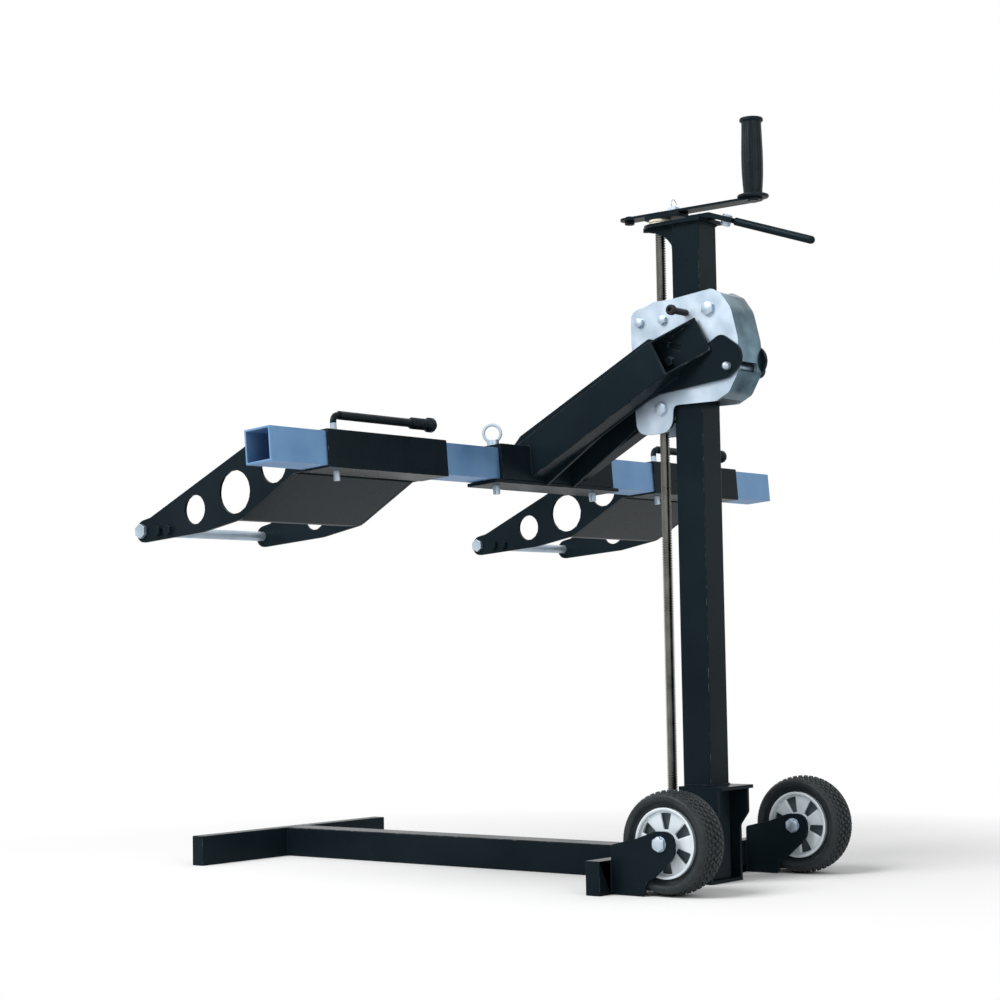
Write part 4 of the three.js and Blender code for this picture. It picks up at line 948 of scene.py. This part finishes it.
def block_rotation(tree, normal, slant):
    """Upright axis on the normal, then turned about it by the slant."""
    align = "FunctionNodeAlignRotationToVector"
    upright = result(tree, align, {"axis": "Z"}, {"Vector": normal})
    squared = result(
        tree, align, {"axis": "X", "pivot_axis": "Z"}, {"Rotation": upright, "Vector": (1, 0, 0)}
    )
    by = result(tree, "FunctionNodeEulerToRotation", {}, {0: vector(tree, z=slant)})
    return result(
        tree, "FunctionNodeRotateRotation", {"rotation_space": "LOCAL"},
        {"Rotation": squared, "Rotate By": by},
    )


# %% The tree for tread blocks
def build_tread_tree():
    tree, given, out = shape_tree("tread blocks", {
        "Blocks": 34, "Rows": 7, "Crown radius": 0.075, "Half width": 0.027, "Bulge": 0.009,
        "Spread": 1.3, "Slant": 0.6, "Block length": 0.0105, "Block width": 0.0062,
        "Block height": 0.004,
    })
    blocks, rows, half_width, bulge = [
        given[name] for name in ("Blocks", "Rows", "Half width", "Bulge")
    ]
    points = result(tree, "GeometryNodeMeshGrid", {}, {"Vertices X": blocks, "Vertices Y": rows})
    number = result(tree, "GeometryNodeInputIndex")
    row = maths("MODULO", number, rows)
    block = maths("FLOOR", over(number, rows))
    odd = maths("MODULO", row, 2.0)
    turn = over(times(plus(block, times(odd, 0.5)), 2 * math.pi), blocks)
    share = minus(over(row, minus(rows, 1.0)), 0.5)
    lean = times(times(share, 2.0), given["Spread"])
    across = times(maths("SINE", lean), half_width)
    rise = times(maths("COSINE", lean), bulge)
    radius = plus(minus(given["Crown radius"], bulge), rise)
    steep_x = over(across, maths("POWER", half_width, 2.0))
    steep_r = over(rise, maths("POWER", bulge, 2.0))
    normal = vector(tree, *round_axle(steep_x, steep_r, turn))
    slant = times(mix_values(odd, 1.0, -1.0), given["Slant"])
    tread = result(tree, "GeometryNodeInstanceOnPoints", {}, {
        "Points": moved_points(tree, points, *round_axle(across, radius, turn)),
        "Instance": tread_block(tree, given), "Rotation": block_rotation(tree, normal, slant),
    })
    return end_tree(tree, given, out, tread, given["Geometry"])


tread_tree = build_tread_tree()
print("tree:", tread_tree.name)

# %% Mould the tyres
TYRE_SIDES = 96
CARCASS_HALF = [
    (52.6, 16.0), (52.6, 18.2), (53.6, 19.0), (57.6, 19.2), (59.2, 20.6), (60.2, 24.4),
    (61.4, 26.9), (63.4, 28.3), (65.8, 29.0), (67.0, 28.7), (67.8, 29.0), (69.6, 28.4),
    (71.2, 26.6), (72.5, 24.0), (73.4, 20.5), (74.0, 14.5), (74.3, 7.5),
]
CARCASS_CROWN = [(74.4, 0)]
TREAD = {
    "Blocks": 46, "Rows": 9, "Crown radius": 0.0753, "Half width": 0.0272, "Bulge": 0.0085,
    "Spread": 1.25, "Slant": 0.6, "Block length": 0.0080, "Block width": 0.0048,
    "Block height": 0.0033,
}


def mirrored(half):
    """The pairs with their distance along the axis turned round."""
    return [(radius, -across) for radius, across in half]


def fit_tyre(side):
    node = "tyre_" + side
    section = mirrored(CARCASS_HALF) + CARCASS_CROWN + CARCASS_HALF[::-1]
    carcass = turned_mesh(node, section, (0, 0, 0), axis="X", sides=TYRE_SIDES, ring=True)
    carcass.polygons.foreach_set("use_smooth", [True] * len(carcass.polygons))
    piece = run_tree(node + "_treaded", tread_tree, carcass, TREAD, tyre_rubber)
    piece.data.transform(Matrix.Translation(box_mm(node)[2] / 1000))
    return settle(piece, tyre_rubber, body_of(node), node)


tyres = [fit_tyre(side) for side in ("left", "right")]
print("tyre faces:", len(tyres[0].data.polygons))

# %% [markdown]
# ## Rims
#
# A rim is a turned barrel with a hub and a thin web in the middle, and on each
# side a plate with six spokes. The slots between the spokes grow wider from the
# hub to the barrel. A plate is a polar grid whose lines follow the slots, with
# the cells in the slots left out, and walls wherever a cell has no neighbour.
# A Boolean could cut the slots as well, but the grid's even faces round better.

# %% Helpers for a slotted plate
SPOKES = 6
SLOT_START, SLOT_GROWTH = 4.0, 0.22
GRID_RADII = (14.0, 20.0, 25.0, 30.0, 35.0, 40.0, 44.5, 48.0)
SPOKE_SHARES = (-1.0, -0.5, 0.0, 0.5, 1.0)
SLOT_SHARES = (1 / 3, 2 / 3)
LINES = len(SPOKE_SHARES) + len(SLOT_SHARES)
COLUMNS = SPOKES * LINES


def grid_place(radius, column, turn):
    """The (y, z) place, in metres, where a circle meets a column line of the grid."""
    pitch = 2 * math.pi / SPOKES
    spoke, line = divmod(column, LINES)
    slot_half = SLOT_START + SLOT_GROWTH * (radius - GRID_RADII[1])
    reach = pitch / 2 - math.asin(slot_half / radius)
    if line < len(SPOKE_SHARES):
        angle = reach * SPOKE_SHARES[line]
    else:
        angle = reach + (pitch - 2 * reach) * SLOT_SHARES[line - len(SPOKE_SHARES)]
    angle += turn + spoke * pitch
    return radius * math.cos(angle) / 1000, radius * math.sin(angle) / 1000


def plate_cells():
    """The cells of the plate that are not in a slot, each as four pairs of row and column."""
    last = len(GRID_RADII) - 2
    cells = []
    for row in range(last + 1):
        for column in range(COLUMNS):
            in_slot = column % LINES >= len(SPOKE_SHARES) - 1
            if not in_slot or row in (0, last):
                after = (column + 1) % COLUMNS
                cells.append([(row, column), (row + 1, column), (row + 1, after), (row, after)])
    return cells


def add_slab(shape, turn, low, high):
    """Adds the plate to the shape as a closed slab along X, from low to high."""
    cells = plate_cells()
    points = {}
    sides = {}
    for cell in cells:
        for row, column in cell:
            for level in (low, high):
                if (level, row, column) not in points:
                    place = (level, *grid_place(GRID_RADII[row], column, turn))
                    points[level, row, column] = shape.verts.new(place)
        for side in zip(cell, cell[1:] + cell[:1]):
            sides[frozenset(side)] = sides.get(frozenset(side), 0) + 1
    for cell in cells:
        shape.faces.new([points[high, *key] for key in cell])
        shape.faces.new([points[low, *key] for key in reversed(cell)])
        for start, end in zip(cell, cell[1:] + cell[:1]):
            if sides[frozenset((start, end))] == 1:
                shape.faces.new([points[low, *start], points[low, *end],
                                 points[high, *end], points[high, *start]])


# %% Mould the rims
RIM_SECTION = [
    (6.4, 29.2), (14.2, 29.2), (15.0, 28.4), (15.0, 8.0), (47.0, 8.0), (47.0, 21.6),
    (48.4, 23.6), (51.0, 24.0), (52.0, 23.2),
]
PLATE_LOW, PLATE_HIGH = 0.014, 0.0185
SPOKE_ROUNDING = 0.0011
PAINTED_SHADE_RADIUS = 0.0475
RIM_TURNS = {"left": 0.0, "right": 42.0}


def gets_painted_shade(face):
    """True between the two plates, inside the barrel, where the shade is painted."""
    return abs(face.center.x) < PLATE_LOW and face.center.yz.length < PAINTED_SHADE_RADIUS


def fit_rim(side, turn):
    node = "rim_" + side
    section = RIM_SECTION + mirrored(RIM_SECTION[::-1])
    barrel = turned_mesh(node + "_barrel", section, (0, 0, 0), axis="X", sides=TYRE_SIDES, ring=True)
    plates = bmesh.new()
    add_slab(plates, turn, PLATE_LOW, PLATE_HIGH)
    add_slab(plates, turn, -PLATE_HIGH, -PLATE_LOW)
    bmesh.ops.recalc_face_normals(plates, faces=plates.faces)
    round_corners(plates, SPOKE_ROUNDING)
    plates.from_mesh(barrel)
    mesh = bpy.data.meshes.new(node + "_spoked")
    plates.to_mesh(mesh)
    plates.free()
    bpy.data.meshes.remove(barrel)
    piece = finished_object(node + "_spoked", mesh, rim_silver)
    # The web and the inside of the barrel between the plates get painted shade.
    second_finish(piece, rim_painted_shade, gets_painted_shade)
    mesh.transform(Matrix.Translation(box_mm(node)[2] / 1000))
    return settle(piece, rim_silver, body_of(node), node)


rims = [fit_rim(side, math.radians(turn)) for side, turn in RIM_TURNS.items()]
print("rim faces:", len(rims[0].data.polygons))

# %% [markdown]
# ## Crank grip and its spindle
#
# The grip swells in the middle, has a lip at the top and a flange at the
# bottom, and shallow flutes that run along it and fade out at both ends. It is
# turned from a profile, and a wave round the axis then draws its points in,
# which is simpler than cutting grooves. The spindle in it is a plain turned bolt.

# %% Turn the grip
FLUTES = 14
FLUTE_DEPTH = 0.028
FLUTE_FROM, FLUTE_TO, FLUTE_FADE = 0.06, 0.93, 12
GRIP_PROFILE = [
    (6.4, 0.0), (23.6, 0.0), (24.5, 0.008), (24.5, 0.026), (23.6, 0.034), (17.0, 0.042),
    (14.8, 0.052), (14.9, 0.09), (15.7, 0.16), (16.6, 0.28), (17.0, 0.42), (16.9, 0.56),
    (16.4, 0.70), (15.9, 0.82), (15.5, 0.92), (15.6, 0.945), (17.4, 0.955), (18.4, 0.963),
    (18.4, 0.985), (17.6, 0.997), (16.4, 1.0), (0, 1.0),
]
grip_low, grip_high, grip_middle = box_mm("crank_grip")
grip_height = grip_high.z - grip_low.z
grip_section = [(radius, grip_low.z + share * grip_height) for radius, share in GRIP_PROFILE]
grip_mesh = turned_mesh("crank_grip", grip_section, (0, 0, 0), sides=112)
for point in grip_mesh.vertices:
    share = (point.co.z * 1000 - grip_low.z) / grip_height
    fade_in = max(0, (share - FLUTE_FROM) * FLUTE_FADE)
    fade_out = max(0, (FLUTE_TO - share) * FLUTE_FADE)
    depth = FLUTE_DEPTH * min(1, fade_in, fade_out)
    if depth > 0:
        turn = math.atan2(point.co.y, point.co.x)
        shrink = 1 - depth * (0.5 + 0.5 * math.cos(FLUTES * turn))
        point.co.x *= shrink
        point.co.y *= shrink
grip_mesh.transform(Matrix.Translation((0, grip_middle.y / 1000, 0)))
grip = finished_object("crank_grip_fluted", grip_mesh, grip_rubber)
settle(grip, grip_rubber, body_of("crank_grip"), "crank_grip")
print("grip faces:", len(grip_mesh.polygons))

# %% Turn the spindle
spindle_low, spindle_high, spindle_middle = box_mm("grip_spindle")
spindle_length = spindle_high.z - spindle_low.z
spindle_mesh = turned_mesh("grip_spindle", [
    (0, 0), (5.2, 0), (7.2, 0.5), (8.0, 1.3), (8.0, 2.7), (6.0, 2.9),
    (6.0, spindle_length - 1), (5.0, spindle_length), (0, spindle_length),
], (0, spindle_middle.y, spindle_low.z), sides=40)
spindle = finished_object("grip_spindle_turned", spindle_mesh, steel)
settle(spindle, steel, body_of("grip_spindle"), "grip_spindle")
print("spindle faces:", len(spindle_mesh.polygons))

# %% [markdown]
# ## Weld beads
#
# The steel is welded, and a weld is a row of overlapping ripples. The bead
# follows a path along the corner between two pieces: the tree samples the
# path finely, lets it wander a little, and lets the radius grow and drop once
# in each ripple.

# %% The tree for a weld bead
WANDER_SCALE = 160.0


def build_weld_tree():
    tree, given, out = shape_tree("weld bead", {
        "Bead radius": 0.0024, "Ripple pitch": 0.0024, "Ripple depth": 0.3,
        "Wander": 0.0007, "Seed": 3,
    })
    pitch = given["Ripple pitch"]
    line = result(tree, "GeometryNodeMeshToCurve", {}, {"Mesh": given["Geometry"]})
    fine = result(
        tree, "GeometryNodeResampleCurve", {"mode": "LENGTH"},
        {"Curve": line, "Length": over(pitch, 3.0)},
    )
    place = result(tree, "GeometryNodeInputPosition")
    noise = add_node(
        tree, "ShaderNodeTexNoise", {"noise_dimensions": "4D"},
        {"Vector": place, "W": given["Seed"], "Scale": WANDER_SCALE, "Detail": 1.0},
    ).outputs["Color"]
    centred = result(
        tree, "ShaderNodeVectorMath", {"operation": "SUBTRACT"}, {0: noise, 1: (0.5, 0.5, 0.5)}
    )
    offset = result(
        tree, "ShaderNodeVectorMath", {"operation": "SCALE"}, {0: centred, "Scale": given["Wander"]}
    )
    wandering = result(tree, "GeometryNodeSetPosition", {}, {"Geometry": fine, "Offset": offset})
    along = add_node(tree, "GeometryNodeSplineParameter").outputs["Length"]
    drop = times(maths("FRACT", over(along, pitch)), given["Ripple depth"])
    circle = {"Resolution": 10, "Radius": given["Bead radius"]}
    profile = result(tree, "GeometryNodeCurvePrimitiveCircle", {}, circle)
    bead = result(tree, "GeometryNodeCurveToMesh", {}, {
        "Curve": wandering, "Profile Curve": profile, "Fill Caps": True, "Scale": minus(1.0, drop),
    })
    return end_tree(tree, given, out, result(tree, "GeometryNodeSetShadeSmooth", {}, {0: bead}))


weld_tree = build_weld_tree()
print("tree:", weld_tree.name)

# %% [markdown]
# The paths are in millimetres. Those on the frame are typed in the frame's own
# axes. Those on the carriage are typed in the axes of the arm and of the head,
# which slope, and are then turned into place.

# %% Where the welds run on the frame
GUSSET_FACE, GUSSET_LOW, GUSSET_HIGH = 21.0, 993, 1028
FORK_FACES = (150.2, 155.2, 215.8, 220.8)
FOOT_HALF = 20
BEAD_LOW, FORK_BEAD_LOW, BEAD_HIGH = 2, 4, 49
POST_INSET, BAR_OFFSET, SOCKET_GAP = 0.6, 0.3, 5.0
post_low, post_high, _ = box_mm("post")
tube_low, tube_high, _ = box_mm("base_tube")
foot_low, foot_high, _ = box_mm("screw_foot")
socket_high = box_mm("post_socket")[1]
bar_back = post_high.y + BAR_OFFSET


def round_post(level, front_gap=0.0):
    """Right round the post, or round three of its sides where there is a gap at the front."""
    front = post_high.y - front_gap
    corners = [(post_low.x, front), (post_low.x, post_low.y), (post_high.x, post_low.y),
               (post_high.x, front)]
    if front_gap == 0:
        corners.append(corners[0])
    return [(x, y, level) for x, y in corners]


frame_welds = [
    round_post(socket_high.z + POST_INSET, SOCKET_GAP), round_post(post_high.z - POST_INSET)
]
for y in (foot_low.y, foot_high.y):
    frame_welds.append([(-FOOT_HALF, y, tube_high.z), (FOOT_HALF, y, tube_high.z)])
for sign in (-1, 1):
    uprights = [(tube_high.x, tube_low.y, BEAD_LOW, BEAD_HIGH),
                (tube_high.x, tube_high.y, BEAD_LOW, BEAD_HIGH),
                (socket_high.x, bar_back, BEAD_LOW, BEAD_HIGH),
                (GUSSET_FACE, post_high.y, GUSSET_LOW, GUSSET_HIGH)]
    uprights += [(x, bar_back, FORK_BEAD_LOW, BEAD_HIGH) for x in FORK_FACES]
    for x, y, low, high in uprights:
        frame_welds.append([(sign * x, y, low), (sign * x, y, high)])
print("weld paths on the frame:", len(frame_welds))

# %% Where the welds run on the carriage
HEAD_TILT, HEAD_PLACE = math.radians(4.35), Vector((0, -38.789, 659.3))
ARM_SLOPE, ARM_PLACE = math.radians(28.2), Vector((0, -371.689, 874.8))
head_frame = Matrix.Translation(HEAD_PLACE) @ Matrix.Rotation(-HEAD_TILT, 4, "X")
arm_frame = Matrix.Translation(ARM_PLACE) @ Matrix.Rotation(-ARM_SLOPE, 4, "X")
BRACKET_REAR, BRACKET_FRONT, BRACKET_LOW, BRACKET_TOP = -32, 16, -15, 32
CHEEK_FACE, CHEEK_FROM, CHEEK_TO = 39, 70, 300
RAIL_FACE, RAIL_DEPTH = 74, 62.5
CRADLE_MIDDLE, PLATE_FACE = 414, 129
SLEEVE_FACE, SLEEVE_LOW, SLEEVE_TOP = 29, -25, 26

carriage_welds = []
for sign in (-1, 1):
    cheek, rail = sign * CHEEK_FACE, sign * RAIL_FACE
    low_edge = [(cheek, CHEEK_FROM, -RAIL_DEPTH), (cheek, CHEEK_TO, -RAIL_DEPTH)]
    rail_foot = [(rail, BRACKET_REAR, BRACKET_LOW), (rail, BRACKET_REAR, BRACKET_TOP),
                 (rail, BRACKET_FRONT, BRACKET_TOP)]
    sloped = [(arm_frame, low_edge), (head_frame, rail_foot)]
    for plate_sign in (-1, 1):
        x = sign * CRADLE_MIDDLE + plate_sign * PLATE_FACE
        corner = [(x, SLEEVE_FACE, SLEEVE_TOP), (x, SLEEVE_FACE, SLEEVE_LOW)]
        sloped.append((head_frame, corner))
    for axes, path in sloped:
        carriage_welds.append([axes @ Vector(point) for point in path])
print("weld paths on the carriage:", len(carriage_welds))

# %% Lay the beads
BEAD = {"Bead radius": 0.0025, "Ripple pitch": 0.0026, "Ripple depth": 0.32, "Wander": 0.0008}


def lay_welds(name, paths, body, seed):
    points, edges = [], []
    for path in paths:
        first = len(points)
        points += [Vector(point) / 1000 for point in path]
        edges += [(i, i + 1) for i in range(first, len(points) - 1)]
    mesh = bpy.data.meshes.new(name)
    mesh.from_pydata(points, edges, [])
    return settle(run_tree(name, weld_tree, mesh, dict(BEAD, Seed=seed), paint), paint, body)


frame_beads = lay_welds("welds_frame", frame_welds, "frame", seed=3)
carriage_beads = lay_welds("welds_carriage", carriage_welds, "carriage", seed=8)
print("weld faces:", len(frame_beads.data.polygons), len(carriage_beads.data.polygons))

# %% [markdown]
# ## Floor, backdrop and light
#
# A pale plain floor keeps the soft shadow under the lift, and it turns white
# with distance for the camera only, so the picture has no horizon. The world
# is white for the camera and in reflections, and grey as a lamp. Two broad
# lamps, from above on the left and from behind the camera, shape the metal.

# %% Lay the floor
FLOOR_HALF = 14.0
FLOOR_COLOUR = (0.86, 0.86, 0.86, 1)
FADE_FROM, FADE_TO = 0.55, 1.35


def floor_material():
    material = bpy.data.materials.new("floor")
    material.use_nodes = True
    tree = material.node_tree
    shader = tree.nodes["Principled BSDF"]
    for name, value in (("Base Color", FLOOR_COLOUR), ("Roughness", 0.9), ("Specular IOR Level", 0.0)):
        shader.inputs[name].default_value = value
    white = result(tree, "ShaderNodeEmission", {}, {"Strength": 1.0})
    place = add_node(tree, "ShaderNodeTexCoord").outputs["Object"]
    distance = add_node(tree, "ShaderNodeVectorMath", {"operation": "LENGTH"}, {0: place})
    far = stretch(distance.outputs["Value"], FADE_FROM, FADE_TO)
    mask = times(far, add_node(tree, "ShaderNodeLightPath").outputs["Is Camera Ray"])
    mixed = result(tree, "ShaderNodeMixShader", {}, {0: mask, 1: shader.outputs[0], 2: white})
    tree.links.new(mixed, tree.nodes["Material Output"].inputs["Surface"])
    return material


floor_mesh = bpy.data.meshes.new("floor")
floor_corners = [(x * FLOOR_HALF, y * FLOOR_HALF, 0) for x, y in ((-1, -1), (1, -1), (1, 1), (-1, 1))]
floor_mesh.from_pydata(floor_corners, [], [(0, 1, 2, 3)])
floor_mesh.materials.append(floor_material())
floor = link_object("floor", floor_mesh)
print("floor:", 2 * FLOOR_HALF, "m wide")

# %% Light the world
WORLD_LIGHT = 0.55


def build_world():
    world = bpy.data.worlds.new("studio")
    world.use_nodes = True
    tree = world.node_tree
    background = tree.nodes["Background"].inputs
    background["Color"].default_value = (1, 1, 1, 1)
    rays = add_node(tree, "ShaderNodeLightPath").outputs
    seen = maths("MAXIMUM", rays["Is Camera Ray"], rays["Is Glossy Ray"])
    seen = maths("MAXIMUM", seen, rays["Is Transmission Ray"])
    tree.links.new(mix_values(seen, WORLD_LIGHT, 1.0), background["Strength"])
    return world


scene.world = build_world()
print("world:", scene.world.name)

# %% Hang the lamps
LIFT_MIDDLE = Vector((0, 0, 0.6))
LAMP_SIZE = 2.2


def add_lamp(name, place, power):
    """A square area lamp that points at the lift and that the camera doesn't see."""
    data = bpy.data.lights.new(name, "AREA")
    data.size = LAMP_SIZE
    data.energy = power
    lamp = link_object(name, data)
    lamp.location = place
    direction = LIFT_MIDDLE - Vector(place)
    lamp.rotation_euler = direction.to_track_quat("-Z", "Y").to_euler()
    lamp.visible_camera = False


add_lamp("key_lamp", (-3.0, 0.6, 3.4), power=160)
add_lamp("fill_lamp", (-1.6, -3.6, 2.0), power=30)
